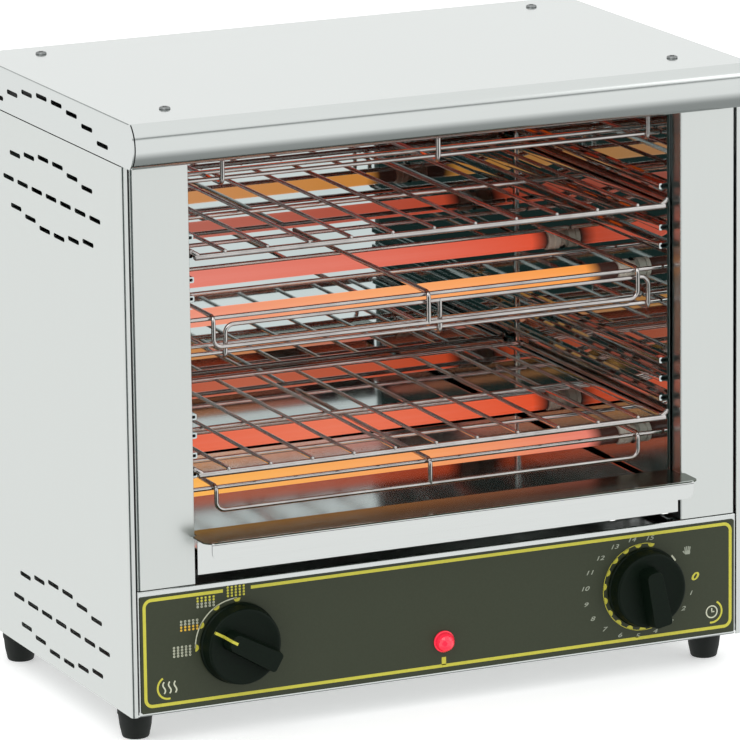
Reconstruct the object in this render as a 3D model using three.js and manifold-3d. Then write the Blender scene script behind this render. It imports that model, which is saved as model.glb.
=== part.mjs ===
// Two-level infrared toaster for a restaurant kitchen: a folded steel housing, six quartz tubes,
// wire guards, two sliding wire racks, a crumb tray, a selector knob and a timer knob.
// Millimetres, +X to the right of a person facing the front, +Y to the back, +Z up.
// The origin is on the table, under the centre of the whole toaster's bounding box.

import * as THREE from 'three';
import { mergeVertices } from 'three/addons/utils/BufferGeometryUtils.js';
import Module from 'manifold-3d';

const wasm = await Module();
wasm.setup();

// ---- driving dimensions -------------------------------------------------------------------

const WIDTH = 450; // housing, outside
const DEPTH = 262; // housing, outside
const HEIGHT = 420; // table to lid
const FRONT_PROUD = 23.5; // knobs and tray handle in front of the housing
const GLAND_PROUD = 10; // cable gland behind the housing
const SHEET = 1; // steel sheet
const GAP = 0.3; // clearance between neighbouring pieces

const HALF = WIDTH / 2;
const FRONT_Y = FRONT_PROUD - (FRONT_PROUD + DEPTH + GLAND_PROUD) / 2;

const FOOT_H = 21;
const BODY_Z = FOOT_H + GAP; // underside of the housing
const LID_H = 30;
const LID_Z = HEIGHT - LID_H; // lower edge of the lid
const JOINT_Z = 106.7; // line between the control fascia and the columns

const FLANGE_W = 4.4; // front flange of each side panel
const COLUMN_OUT = HALF - FLANGE_W - 1;
const COLUMN_W = 41.3;
const OPENING_HALF = COLUMN_OUT - COLUMN_W;

const LINER_X = 175.5; // inner face of each side liner
const LINER_FRONT = 14; // distances behind the front plane
const LINER_REAR = 245.5;
const LINER_FLANGE = 7.5; // reach of its front flange, behind the column
const CAVITY_TOP = 398.2;
const FLOOR_Z = 107.2;

const RAIL_DEPTH = 6; // how far the pressed ribs stand into the cavity
const RAIL_RIB = 4; // height of a rib
const RAIL_H = 8.6; // channel between two ribs
const RAIL_FLOORS = [178.9, 204.9, 296.5, 324.7]; // rack rails in each liner, floor heights
const RACK_RAILS = { lower: RAIL_FLOORS[0], upper: RAIL_FLOORS[3] }; // the two in use

const TUBE_R = 6;
const TUBE_BORE_R = 4.6;
const COIL_R = 3.6;
const TUBE_HALF = 163;
const TUBE_DEPTHS = [67, 175]; // front and rear tube of each pair
const LEVELS = {
  bottom: { tube: 153, wires: 166, bar: 149.5 },
  mid: { tube: 268, wires: 280, bar: 259.5 },
  top: { tube: 384 },
};
const CAP_R = 7;
const CAP_END = 186;

const GUARD_WIRE_R = 1.5;
const GUARD_BAR_R = 1.6;
const WELD_STEP = 1.2; // centre distance of two crossing welded wires, in wire radii
const GUARD_HALF = 155; // outer wires of a guard
const GUARD_CROSS_HALF = LINER_X - 0.6;
const GUARD_REAR = 236;
const GUARD_BEND = 4;
const GUARD_WIRES = [-GUARD_HALF, 0, GUARD_HALF];
const OVER_GUARD_FRONT = 17.5;
const OVER_GUARD_CROSSBARS = [4, 74, 144, 212]; // distances behind its front bar
const UNDER_GUARD_FRONT = 21.5;
const UNDER_GUARD_SHIFT = 10; // the lower guard stands this far to the right
const UNDER_GUARD_DROP = 17; // its wires below the tube axis
const UNDER_GUARD_RISE = 5; // its front bar above the tube axis
const UNDER_GUARD_CROSSBARS = [30, 100, 170, 208];
const UNDER_GUARD_SILL = [2.4, 3.4]; // crossbar inside the bend: behind the front, above the wires

const RACK_FRONT = 9;
const RACK_REAR = 236;
const RACK_WIRES = 11;
const RACK_PITCH = 30;

const KNOB_Z = 63.8;
const KNOB_X = { selector: -149.5, timer: 149.5 };
const KNOB_R = 27.5;
const SHAFT_R = 3;
const LAMP_Z = 45;

// ---- solid helpers ------------------------------------------------------------------------

const behindFront = (distance) => FRONT_Y + distance;

function solid(geometry) {
  const bare = geometry.clone();
  bare.deleteAttribute('normal');
  bare.deleteAttribute('uv');
  const merged = mergeVertices(bare, 1e-5);
  return new wasm.Manifold(new wasm.Mesh({
    numProp: 3,
    vertProperties: new Float32Array(merged.attributes.position.array),
    triVerts: new Uint32Array(merged.index.array),
  }));
}

function geometryOf(manifold) {
  const mesh = manifold.getMesh();
  const geometry = new THREE.BufferGeometry();
  const stride = mesh.numProp;
  const positions = new Float32Array((mesh.vertProperties.length / stride) * 3);
  for (let i = 0; i < positions.length / 3; i += 1) {
    for (let k = 0; k < 3; k += 1) positions[3 * i + k] = mesh.vertProperties[stride * i + k];
  }
  geometry.setAttribute('position', new THREE.BufferAttribute(positions, 3));
  geometry.setIndex(new THREE.BufferAttribute(new Uint32Array(mesh.triVerts), 1));
  geometry.computeVertexNormals();
  return geometry;
}

function join(parts) {
  return parts.reduce((whole, part) => whole.add(part));
}

function cut(whole, holes) {
  return holes.length ? whole.subtract(join(holes)) : whole;
}

// a box from its low and high corners, with y counted from the front plane
function block(x0, x1, d0, d1, z0, z1) {
  const geometry = new THREE.BoxGeometry(x1 - x0, d1 - d0, z1 - z0);
  geometry.translate((x0 + x1) / 2, behindFront((d0 + d1) / 2), (z0 + z1) / 2);
  return solid(geometry);
}

// a round rod between two points [x, distance behind the front plane, z]
function rod(from, to, radius, sides = 4) {
  const a = new THREE.Vector3(from[0], behindFront(from[1]), from[2]);
  const b = new THREE.Vector3(to[0], behindFront(to[1]), to[2]);
  const along = b.clone().sub(a);
  const geometry = new THREE.CylinderGeometry(radius, radius, along.length(), sides);
  const turn = new THREE.Quaternion().setFromUnitVectors(new THREE.Vector3(0, 1, 0), along.normalize());
  geometry.applyQuaternion(turn);
  geometry.translate(...a.add(b).multiplyScalar(0.5).toArray());
  return solid(geometry);
}

// rods along a chain of points, with a ball at each bend
function bentWire(points, radius) {
  const parts = [];
  for (let i = 1; i < points.length; i += 1) parts.push(rod(points[i - 1], points[i], radius));
  for (let i = 1; i < points.length - 1; i += 1) {
    const ball = new THREE.SphereGeometry(radius, 4, 3);
    ball.translate(points[i][0], behindFront(points[i][1]), points[i][2]);
    parts.push(solid(ball));
  }
  return join(parts);
}

// a lathe profile of [radius, height] points turned about an axis through the given place
function turned(profile, sides, place, axis) {
  const geometry = new THREE.LatheGeometry(profile.map(([r, h]) => new THREE.Vector2(r, h)), sides);
  const turn = new THREE.Quaternion().setFromUnitVectors(new THREE.Vector3(0, 1, 0), axis);
  geometry.applyQuaternion(turn);
  geometry.translate(place[0], behindFront(place[1]), place[2]);
  return solid(geometry);
}

const TO_FRONT = new THREE.Vector3(0, -1, 0);
const TO_BACK = new THREE.Vector3(0, 1, 0);
const UP = new THREE.Vector3(0, 0, 1);
const TO_RIGHT = new THREE.Vector3(1, 0, 0);

// an outline of [distance behind the front plane, z] points, extruded from x0 to x1
function alongX(outline, x0, x1) {
  const shape = new THREE.Shape(outline.map(([d, z]) => new THREE.Vector2(behindFront(d), z)));
  const geometry = new THREE.ExtrudeGeometry(shape, { depth: x1 - x0, bevelEnabled: false });
  geometry.applyMatrix4(new THREE.Matrix4().set(0, 0, 1, x0, 1, 0, 0, 0, 0, 1, 0, 0, 0, 0, 0, 1));
  return solid(geometry);
}

// an outline of [x, z] points, extruded from distance d0 to d1 behind the front plane
function alongY(outline, d0, d1) {
  const shape = new THREE.Shape(outline.map(([x, z]) => new THREE.Vector2(x, z)));
  const geometry = new THREE.ExtrudeGeometry(shape, { depth: d1 - d0, bevelEnabled: false });
  geometry.rotateX(Math.PI / 2);
  geometry.translate(0, behindFront(d1), 0);
  return solid(geometry);
}

// an outline of [x, distance behind the front plane] points, extruded from z0 to z1
function alongZ(outline, z0, z1) {
  const shape = new THREE.Shape(outline.map(([x, d]) => new THREE.Vector2(x, behindFront(d))));
  const geometry = new THREE.ExtrudeGeometry(shape, { depth: z1 - z0, bevelEnabled: false });
  geometry.translate(0, 0, z0);
  return solid(geometry);
}

// points of an arc about [cx, cy], from angle a0 to a1 in degrees
function arc(cx, cy, radius, a0, a1, steps) {
  return Array.from({ length: steps + 1 }, (_, i) => {
    const angle = THREE.MathUtils.degToRad(a0 + ((a1 - a0) * i) / steps);
    return [cx + radius * Math.cos(angle), cy + radius * Math.sin(angle)];
  });
}

function mirrored(manifold) {
  return manifold.mirror([1, 0, 0]);
}

// ---- the assembly -------------------------------------------------------------------------

const toaster = new THREE.Group();

const finishes = {
  steel: new THREE.MeshStandardMaterial({ color: 0xdbe0de, roughness: 0.35, metalness: 0.9 }),
  liner: new THREE.MeshStandardMaterial({ color: 0xc9cfcf, roughness: 0.08, metalness: 1 }),
  wire: new THREE.MeshStandardMaterial({ color: 0xb9bcc0, roughness: 0.2, metalness: 1 }),
  overlay: new THREE.MeshStandardMaterial({ color: 0x3e4235, roughness: 0.5, metalness: 0 }),
  knob: new THREE.MeshStandardMaterial({ color: 0x18201a, roughness: 0.4, metalness: 0 }),
  lamp: new THREE.MeshStandardMaterial({ color: 0xe11e3c, roughness: 0.2, metalness: 0 }),
  rubber: new THREE.MeshStandardMaterial({ color: 0x141c16, roughness: 0.8, metalness: 0 }),
  quartz: new THREE.MeshStandardMaterial({ color: 0xff9a5a, roughness: 0.1, metalness: 0 }),
  coil: new THREE.MeshStandardMaterial({ color: 0xff7a30, roughness: 0.6, metalness: 0.4 }),
  ceramic: new THREE.MeshStandardMaterial({ color: 0xd8d2c6, roughness: 0.7, metalness: 0 }),
  moulding: new THREE.MeshStandardMaterial({ color: 0x24282b, roughness: 0.6, metalness: 0 }),
};

function add(name, finish, manifold) {
  const mesh = new THREE.Mesh(geometryOf(manifold), finishes[finish]);
  mesh.name = name;
  toaster.add(mesh);
}

// ---- housing ------------------------------------------------------------------------------

const SLOT_LENGTH = 19;
const SLOT_HEIGHT = 3.1;
const SLOT_MIDDLE = DEPTH / 2 - 9; // the rows stand a little nearer to the front
const SLOT_PITCH = 25.3;

// a vent slot with round ends, lying along Y, cut from x0 to x1
function ventSlot(d, z, x0, x1) {
  const r = SLOT_HEIGHT / 2;
  const reach = SLOT_LENGTH / 2 - r;
  const outline = [...arc(d + reach, z, r, -90, 90, 2), ...arc(d - reach, z, r, 90, 270, 2)];
  return alongX(outline, x0, x1);
}

// a lens of three rows: six slots arched up, seven straight, six arched down
function ventLens(centreZ, x0, x1) {
  const rowGap = 18;
  const bow = 6;
  const rows = [{ count: 6, side: 1 }, { count: 7, side: 0 }, { count: 6, side: -1 }];
  return rows.flatMap(({ count, side }) => Array.from({ length: count }, (_, i) => {
    const place = i - (count - 1) / 2;
    const fall = bow * (Math.abs(place) - 0.5) / 2;
    return ventSlot(SLOT_MIDDLE + place * SLOT_PITCH, centreZ + side * (rowGap + bow - fall), x0, x1);
  }));
}

const UPPER_LENS_Z = 346.3;
const LOWER_LENS_Z = 54.9;

function sidePanel() {
  const inner = HALF - SHEET;
  const round = 2;
  const z0 = BODY_Z;
  const z1 = LID_Z - GAP;
  const outline = [
    [HALF - FLANGE_W, 0],
    ...arc(HALF - round, round, round, -90, 0, 3),
    ...arc(HALF - round, DEPTH - round, round, 0, 90, 3),
    [HALF - 14, DEPTH],
    [HALF - 14, DEPTH - SHEET],
    [inner, DEPTH - SHEET],
    [inner, SHEET],
    [HALF - FLANGE_W, SHEET],
  ];
  const slots = [UPPER_LENS_Z, LOWER_LENS_Z].flatMap((z) => ventLens(z, inner - 1, HALF + 1));
  return cut(alongZ(outline, z0, z1), slots);
}

const rightPanel = sidePanel();
add('side_panel_right', 'steel', rightPanel);
add('side_panel_left', 'steel', mirrored(rightPanel));

const LID_SCREW_X = 184;
const LID_SCREW_DEPTHS = [23, 237];
const LID_SCREW_HOLE_R = 2.4;
const LID_SLOTS = 8;
const LID_SLOT_PITCH = 26.2;
const LID_SLOT_TOP = 412; // the middle of the row's arch
const LID_SLOT_FALL = 13.5; // how far the end slots lie below it

const NOSE_R = 18.75;
const NOSE_CENTRE = -2.75; // its arc stands in front of the front plane

// the lid's side outline: flat top, bowed nose in front, square back
function lidOutline(inset) {
  const z = LID_Z + LID_H / 2;
  const low = LID_Z + (inset || GAP);
  const r = NOSE_R - inset;
  const up = THREE.MathUtils.radToDeg(Math.asin((HEIGHT - inset - z) / r));
  const down = THREE.MathUtils.radToDeg(Math.asin((z - low) / r));
  return [
    [DEPTH - inset, inset ? LID_Z - 1 : low],
    [DEPTH - inset, HEIGHT - inset],
    ...arc(NOSE_CENTRE, z, r, 180 - up, 180 + down, 12),
    [0.5, low],
    ...(inset ? [[0.5, LID_Z - 1]] : []),
  ];
}

function lid() {
  const shell = alongX(lidOutline(0), -HALF, HALF)
    .subtract(alongX(lidOutline(SHEET), -HALF + SHEET, HALF - SHEET));
  const slots = [];
  const last = (LID_SLOTS - 1) / 2;
  for (let place = -last; place <= last; place += 1) {
    const z = LID_SLOT_TOP - LID_SLOT_FALL * (place / last) ** 2;
    slots.push(ventSlot(SLOT_MIDDLE + place * LID_SLOT_PITCH, z, -HALF - 1, HALF + 1));
  }
  const holes = LID_SCREW_DEPTHS.flatMap((d) => [-LID_SCREW_X, LID_SCREW_X].map((x) => (
    rod([x, d, HEIGHT - 5], [x, d, HEIGHT + 5], LID_SCREW_HOLE_R, 10))));
  return cut(shell, [...slots, ...holes]);
}

add('lid', 'steel', lid());

function lidScrew(x, d) {
  const profile = [[0, -9], [2, -9], [2, GAP], [4.6, GAP], [4.6, 0.9], [3.6, 2], [1.8, 2.5], [0, 2.6]];
  return turned(profile, 12, [x, d, HEIGHT], UP);
}

['front', 'rear'].forEach((row, i) => {
  add(`lid_screw_${row}_left`, 'wire', lidScrew(-LID_SCREW_X, LID_SCREW_DEPTHS[i]));
  add(`lid_screw_${row}_right`, 'wire', lidScrew(LID_SCREW_X, LID_SCREW_DEPTHS[i]));
});

const GLAND_X = 165;
const GLAND_Z = 62;
const GLAND_HOLE_R = 9;
const REAR_SLOTS = 7;
const REAR_SLOT_PITCH = 36;
const REAR_SLOT_Z = 80;
const REAR_SLOT_R = 1.6;
const REAR_SLOT_REACH = 9; // from the slot's middle to the centre of its round end

function rearPanel() {
  const slots = [];
  for (let i = 0; i < REAR_SLOTS; i += 1) {
    const x = (i - (REAR_SLOTS - 1) / 2) * REAR_SLOT_PITCH;
    slots.push(alongY([
      ...arc(x + REAR_SLOT_REACH, REAR_SLOT_Z, REAR_SLOT_R, -90, 90, 2),
      ...arc(x - REAR_SLOT_REACH, REAR_SLOT_Z, REAR_SLOT_R, 90, 270, 2),
    ], DEPTH - 5, DEPTH + 1));
  }
  const hole = rod([GLAND_X, DEPTH - 5, GLAND_Z], [GLAND_X, DEPTH + 1, GLAND_Z], GLAND_HOLE_R, 16);
  const reach = HALF - SHEET - GAP;
  const sheet = block(-reach, reach, DEPTH - 2 * SHEET - GAP, DEPTH - SHEET - GAP, BODY_Z, LID_Z - GAP);
  return cut(sheet, [...slots, hole]);
}

add('rear_panel', 'steel', rearPanel());

add('base_plate', 'steel', block(-COLUMN_OUT, COLUMN_OUT, 3, DEPTH - 2 * SHEET - 2 * GAP,
  BODY_Z + SHEET + GAP, BODY_Z + 2 * SHEET + GAP));

// a front column: a channel open to the back, its outer edge rounded
function frontColumn() {
  const round = 2.5;
  const outline = [
    [OPENING_HALF, 12],
    [OPENING_HALF, 0.5],
    [OPENING_HALF + 0.5, 0],
    ...arc(COLUMN_OUT - round, round, round, -90, 0, 3),
    [COLUMN_OUT, 12],
    [COLUMN_OUT - SHEET, 12],
    [COLUMN_OUT - SHEET, SHEET],
    [OPENING_HALF + SHEET, SHEET],
    [OPENING_HALF + SHEET, 12],
  ];
  return alongZ(outline, JOINT_Z + GAP, LID_Z - GAP);
}

const rightColumn = frontColumn();
add('front_column_right', 'steel', rightColumn);
add('front_column_left', 'steel', mirrored(rightColumn));

function foot(x, d) {
  const profile = [[0, 0], [8.5, 0], [9.8, 1.2], [11, 8], [12, 16], [12, FOOT_H], [0, FOOT_H]];
  return turned(profile, 20, [x, d, 0], UP);
}

const FOOT_X = 211;
const FOOT_DEPTHS = [29, 234];
['front', 'rear'].forEach((row, i) => {
  add(`foot_${row}_left`, 'rubber', foot(-FOOT_X, FOOT_DEPTHS[i]));
  add(`foot_${row}_right`, 'rubber', foot(FOOT_X, FOOT_DEPTHS[i]));
});

// ---- controls -----------------------------------------------------------------------------

const SHAFT_HOLE_R = 5;
const LAMP_HOLE_R = 5.6;
const LAMP_BARREL_R = 5;
const FASCIA_RETURN = 20; // how far its top and bottom folds reach back

function controlHoles(d0, d1) {
  return [
    rod([KNOB_X.selector, d0, KNOB_Z], [KNOB_X.selector, d1, KNOB_Z], SHAFT_HOLE_R, 12),
    rod([KNOB_X.timer, d0, KNOB_Z], [KNOB_X.timer, d1, KNOB_Z], SHAFT_HOLE_R, 12),
    rod([0, d0, LAMP_Z], [0, d1, LAMP_Z], LAMP_HOLE_R, 12),
  ];
}

function controlFascia() {
  const top = JOINT_Z - GAP;
  const bottom = BODY_Z;
  const back = FASCIA_RETURN;
  const channel = [
    [back, top], [0, top], [0, bottom], [back, bottom],
    [back, bottom + SHEET], [SHEET, bottom + SHEET], [SHEET, top - SHEET], [back, top - SHEET],
  ];
  return cut(alongX(channel, -COLUMN_OUT, COLUMN_OUT), controlHoles(-5, 5));
}

add('control_fascia', 'steel', controlFascia());

const OVERLAY_FRONT = -1;
const OVERLAY_BACK = -0.2;
const OVERLAY_HALF = 218.5;
const OVERLAY_Z = [23.5, 104.8]; // lower and upper edge

function controlOverlay() {
  const sheet = block(-OVERLAY_HALF, OVERLAY_HALF, OVERLAY_FRONT, OVERLAY_BACK, ...OVERLAY_Z);
  return cut(sheet, controlHoles(-5, 5));
}

add('control_overlay', 'overlay', controlOverlay());

const KNOB_FACE = 12.5; // height of the face on both sides of the grip bar
const GRIP_TAIL = 28;
const GRIP_HEAD = 17; // the bar stops short of the rim on the pointer's side

// a knob on its shaft: a slightly tapered drum with a raised grip bar, turned to the given angle
function knob(x, gripAngle) {
  const back = OVERLAY_FRONT - 0.5;
  const height = FRONT_PROUD + back;
  const drum = turned([
    [0, -14], [SHAFT_R, -14], [SHAFT_R, 0], [KNOB_R, 0], [KNOB_R, 2.5], [KNOB_R - 1.5, KNOB_FACE - 1],
    [KNOB_R - 2.5, KNOB_FACE], [0, KNOB_FACE],
  ], 28, [x, back, KNOB_Z], TO_FRONT);
  const grip = new THREE.Shape([
    [-GRIP_TAIL, -6], [-GRIP_TAIL + 3, -8.2], [GRIP_HEAD - 4, -7], [GRIP_HEAD, -3],
    [GRIP_HEAD, 3], [GRIP_HEAD - 4, 7], [-GRIP_TAIL + 3, 8.2], [-GRIP_TAIL, 6],
  ].map(([u, v]) => new THREE.Vector2(u, v)));
  const bar = new THREE.ExtrudeGeometry(grip, { depth: height - KNOB_FACE + 2, bevelEnabled: false });
  bar.translate(0, 0, KNOB_FACE - 2);
  bar.rotateZ(THREE.MathUtils.degToRad(gripAngle));
  bar.rotateX(Math.PI / 2);
  bar.translate(x, behindFront(back), KNOB_Z);
  return drum.add(solid(bar));
}

const SELECTOR_ANGLE = 150; // the pointer's direction, counted anticlockwise from the right
const TIMER_ANGLE = 101;
add('selector_knob', 'knob', knob(KNOB_X.selector, SELECTOR_ANGLE));
add('timer_knob', 'knob', knob(KNOB_X.timer, TIMER_ANGLE));

function shaftBore(x) {
  return rod([x, -1, KNOB_Z], [x, 20, KNOB_Z], SHAFT_R + 0.4, 12);
}

const INNER_FACE = SHEET + 0.5;
const SWITCH_HALF = 19.5;
const TIMER_BODY_R = 25;
add('selector_switch', 'moulding', cut(
  block(KNOB_X.selector - SWITCH_HALF, KNOB_X.selector + SWITCH_HALF, INNER_FACE, 38,
    KNOB_Z - SWITCH_HALF, KNOB_Z + SWITCH_HALF),
  [shaftBore(KNOB_X.selector)],
));
add('timer_body', 'moulding', cut(
  rod([KNOB_X.timer, INNER_FACE, KNOB_Z], [KNOB_X.timer, 46, KNOB_Z], TIMER_BODY_R, 20),
  [shaftBore(KNOB_X.timer)],
));

// the indicator lamp is one unit: a domed lens with its barrel behind it
add('indicator_lamp', 'lamp', turned([
  [0, -32], [LAMP_BARREL_R, -32], [LAMP_BARREL_R, GAP], [7.4, GAP], [7.4, 1.4],
  ...arc(0, 1.4, 6.8, 0, 75, 4), [0, 8.3],
], 18, [0, OVERLAY_FRONT, LAMP_Z], TO_FRONT));

// ---- cavity -------------------------------------------------------------------------------

// one liner: a wall pressed inwards into ribs, two for each rack rail, with a front flange
function sideLiner() {
  const z0 = FLOOR_Z + SHEET + GAP;
  const ribX = LINER_X - RAIL_DEPTH;
  const inner = [[LINER_X, z0]];
  const back = [[LINER_X + SHEET, z0]];
  for (const low of RAIL_FLOORS.flatMap((floor) => [floor - RAIL_RIB, floor + RAIL_H])) {
    const high = low + RAIL_RIB;
    inner.push([LINER_X, low], [ribX, low], [ribX, high], [LINER_X, high]);
    back.push([LINER_X + SHEET, low + SHEET], [ribX + SHEET, low + SHEET]);
    back.push([ribX + SHEET, high - SHEET], [LINER_X + SHEET, high - SHEET]);
  }
  inner.push([LINER_X, CAVITY_TOP]);
  back.push([LINER_X + SHEET, CAVITY_TOP]);
  const wall = alongY([...inner, ...back.reverse()], LINER_FRONT, LINER_REAR);
  const flange = block(LINER_X + SHEET / 2, LINER_X + LINER_FLANGE, LINER_FRONT, LINER_FRONT + SHEET,
    z0, CAVITY_TOP);
  const holes = Object.values(LEVELS).flatMap(({ tube }) => TUBE_DEPTHS.map((d) => (
    rod([LINER_X - 1, d, tube], [LINER_X + 2, d, tube], CAP_R + 0.5, 12))));
  return cut(wall.add(flange), holes);
}

const rightLiner = sideLiner();
add('side_liner_right', 'liner', rightLiner);
add('side_liner_left', 'liner', mirrored(rightLiner));

const LINER_OUT = LINER_X + 4;
add('rear_reflector', 'liner', block(-LINER_OUT, LINER_OUT, LINER_REAR + GAP, LINER_REAR + GAP + SHEET,
  FLOOR_Z + SHEET + GAP, CAVITY_TOP));
add('top_reflector', 'liner', block(-LINER_OUT, LINER_OUT, LINER_FRONT, LINER_REAR + GAP + SHEET,
  CAVITY_TOP + GAP, CAVITY_TOP + GAP + SHEET));

const RIB_H = 4.5;
const RIB_X = 150;
add('cavity_floor', 'liner', join([
  block(-LINER_X - 2, LINER_X + 2, 2, LINER_REAR, FLOOR_Z, FLOOR_Z + SHEET),
  block(-RIB_X - 4, -RIB_X + 4, 8, LINER_REAR - 4, FLOOR_Z, FLOOR_Z + SHEET + RIB_H),
  block(RIB_X - 4, RIB_X + 4, 8, LINER_REAR - 4, FLOOR_Z, FLOOR_Z + SHEET + RIB_H),
]));

const levelNames = Object.keys(LEVELS);
const rowNames = ['front', 'rear'];

for (const level of levelNames) {
  rowNames.forEach((row, i) => {
    const d = TUBE_DEPTHS[i];
    const z = LEVELS[level].tube;
    const tube = rod([-TUBE_HALF, d, z], [TUBE_HALF, d, z], TUBE_R, 14);
    const bore = rod([-TUBE_HALF - 1, d, z], [TUBE_HALF + 1, d, z], TUBE_BORE_R, 14);
    add(`quartz_tube_${level}_${row}`, 'quartz', cut(tube, [bore]));
    const coilHalf = TUBE_HALF - 12;
    add(`heating_coil_${level}_${row}`, 'coil', rod([-coilHalf, d, z], [coilHalf, d, z], COIL_R, 8));
    const cap = turned([[0, TUBE_HALF + GAP], [CAP_R, TUBE_HALF + GAP], [CAP_R, CAP_END], [0, CAP_END]],
      12, [0, d, z], TO_RIGHT);
    add(`ceramic_cap_${level}_${row}_right`, 'ceramic', cap);
    add(`ceramic_cap_${level}_${row}_left`, 'ceramic', mirrored(cap));
  });
}

// the guard over a pair of tubes: wires run front to back, bend down at the front and end in a bar
function overGuard({ wires, bar }) {
  const r = GUARD_WIRE_R;
  const d = OVER_GUARD_FRONT;
  const parts = GUARD_WIRES.map((x) => bentWire([
    [x, GUARD_REAR, wires], [x, d + GUARD_BEND, wires], [x, d, wires - GUARD_BEND], [x, d, bar],
  ], r));
  parts.push(rod([-GUARD_HALF - r, d, bar], [GUARD_HALF + r, d, bar], GUARD_BAR_R, 8));
  for (const back of OVER_GUARD_CROSSBARS) {
    const z = wires - WELD_STEP * r;
    parts.push(rod([-GUARD_CROSS_HALF, d + back, z], [GUARD_CROSS_HALF, d + back, z], r));
  }
  return join(parts);
}

// the guard under a pair of tubes: the same grid turned over and moved to one side
function underGuard({ tube }) {
  const r = GUARD_WIRE_R;
  const d = UNDER_GUARD_FRONT;
  const z = tube - UNDER_GUARD_DROP;
  const bar = tube + UNDER_GUARD_RISE;
  const wires = GUARD_WIRES.map((x) => x + UNDER_GUARD_SHIFT);
  const parts = wires.map((x) => bentWire([
    [x, GUARD_REAR, z], [x, d + GUARD_BEND, z], [x, d, z + GUARD_BEND], [x, d, bar],
  ], r));
  parts.push(rod([wires[0] - r, d, bar], [wires[2] + r, d, bar], GUARD_BAR_R, 8));
  const crossbars = UNDER_GUARD_CROSSBARS.map((back) => [back, WELD_STEP * r]);
  for (const [back, rise] of [UNDER_GUARD_SILL, ...crossbars]) {
    const from = [-GUARD_CROSS_HALF, d + back, z + rise];
    parts.push(rod(from, [GUARD_CROSS_HALF, d + back, z + rise], r));
  }
  return join(parts);
}

add('guard_over_bottom_tubes', 'wire', overGuard(LEVELS.bottom));
add('guard_over_mid_tubes', 'wire', overGuard(LEVELS.mid));
add('guard_under_mid_tubes', 'wire', underGuard(LEVELS.mid));
add('guard_under_top_tubes', 'wire', underGuard(LEVELS.top));

// ---- racks and crumb tray -----------------------------------------------------------------

// a toast rack that slides in the rails: runners, front bar, rear bar and eleven wires
function toastRack(floor) {
  const barR = 2.2;
  const wireR = 1.3;
  const runnerR = 1.8;
  const runnerX = 173;
  const runnerZ = floor + GAP + runnerR;
  const weld = 0.9; // how far crossing wires sink into each other
  const barZ = floor + 0.6 - barR;
  const wireZ = barZ + barR + wireR - weld;
  const parts = [
    rod([-171.5, RACK_FRONT, barZ], [171.5, RACK_FRONT, barZ], barR, 8),
    rod([-166, 122, barZ], [166, 122, barZ], wireR + 0.4),
    rod([-runnerX - runnerR, RACK_REAR, runnerZ], [runnerX + runnerR, RACK_REAR, runnerZ], runnerR),
  ];
  for (const side of [-1, 1]) {
    parts.push(rod([side * runnerX, RACK_FRONT - 1, runnerZ], [side * runnerX, RACK_REAR, runnerZ], runnerR));
    parts.push(rod([side * 169, RACK_FRONT, barZ + 1], [side * runnerX, RACK_FRONT, runnerZ - 0.4], runnerR));
  }
  for (let i = 0; i < RACK_WIRES; i += 1) {
    const x = (i - (RACK_WIRES - 1) / 2) * RACK_PITCH;
    parts.push(rod([x, RACK_FRONT - 2, wireZ], [x, RACK_REAR, wireZ], wireR));
  }
  return join(parts);
}

add('toast_rack_upper', 'wire', toastRack(RACK_RAILS.upper));
add('toast_rack_lower', 'wire', toastRack(RACK_RAILS.lower));

// the crumb tray: a shallow box with a front plate and a handle lip that hems down in front
function crumbTray() {
  const t = 0.8;
  const half = 172;
  const z0 = FLOOR_Z + SHEET + RIB_H + GAP;
  const rear = 240;
  const wallTop = z0 + 14;
  const plateHalf = 176.4;
  const neckHalf = 176; // the lip between the columns
  const lipHalf = 184; // the lip in front of them
  const hemHalf = 178;
  const hemCorner = 10;
  const lipTop = 139.6;
  const hemBottom = 127.8;
  const lipBack = 12;
  const front = -FRONT_PROUD;
  const corner = lipHalf - hemHalf;
  const tub = block(-half, half, GAP + SHEET / 2, rear, z0, wallTop)
    .subtract(block(-half + t, half - t, GAP + SHEET, rear - t, z0 + t, wallTop + 1));
  const lip = alongZ([
    [-neckHalf, lipBack], [-neckHalf, -1], [-lipHalf, -1],
    ...arc(-lipHalf + corner, front + corner, corner, 180, 270, 4),
    ...arc(lipHalf - corner, front + corner, corner, 270, 360, 4),
    [lipHalf, -1], [neckHalf, -1], [neckHalf, lipBack],
  ], lipTop - t, lipTop);
  const hem = alongY([
    ...arc(-hemHalf + hemCorner, hemBottom + hemCorner, hemCorner, 180, 270, 4),
    ...arc(hemHalf - hemCorner, hemBottom + hemCorner, hemCorner, 270, 360, 4),
    [hemHalf, lipTop - 0.2],
    [-hemHalf, lipTop - 0.2],
  ], front + 0.1, front + 0.1 + t);
  return join([
    tub,
    block(-plateHalf, plateHalf, GAP, GAP + SHEET, z0 - GAP, lipTop - 0.2),
    lip,
    hem,
    block(-half, half, lipBack - 0.1 - t, lipBack - 0.1, lipTop - 6, lipTop - 0.2),
  ]);
}

add('crumb_tray', 'steel', crumbTray());

// ---- wiring pieces ------------------------------------------------------------------------

function cableGland() {
  const wall = GLAND_HOLE_R - 0.4;
  const profile = [
    [4, -14], [wall, -14], [wall, -GAP], [wall, SHEET + GAP], [13, SHEET + GAP], [13, SHEET + 6],
    [10.5, SHEET + 6.5], [10.5, SHEET + 9.5 - GAP], [8, SHEET + GLAND_PROUD], [4, SHEET + GLAND_PROUD],
    [4, -14],
  ];
  return turned(profile, 16, [GLAND_X, DEPTH - SHEET, GLAND_Z], TO_BACK);
}

add('cable_gland', 'moulding', cableGland());

export default toaster;
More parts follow.
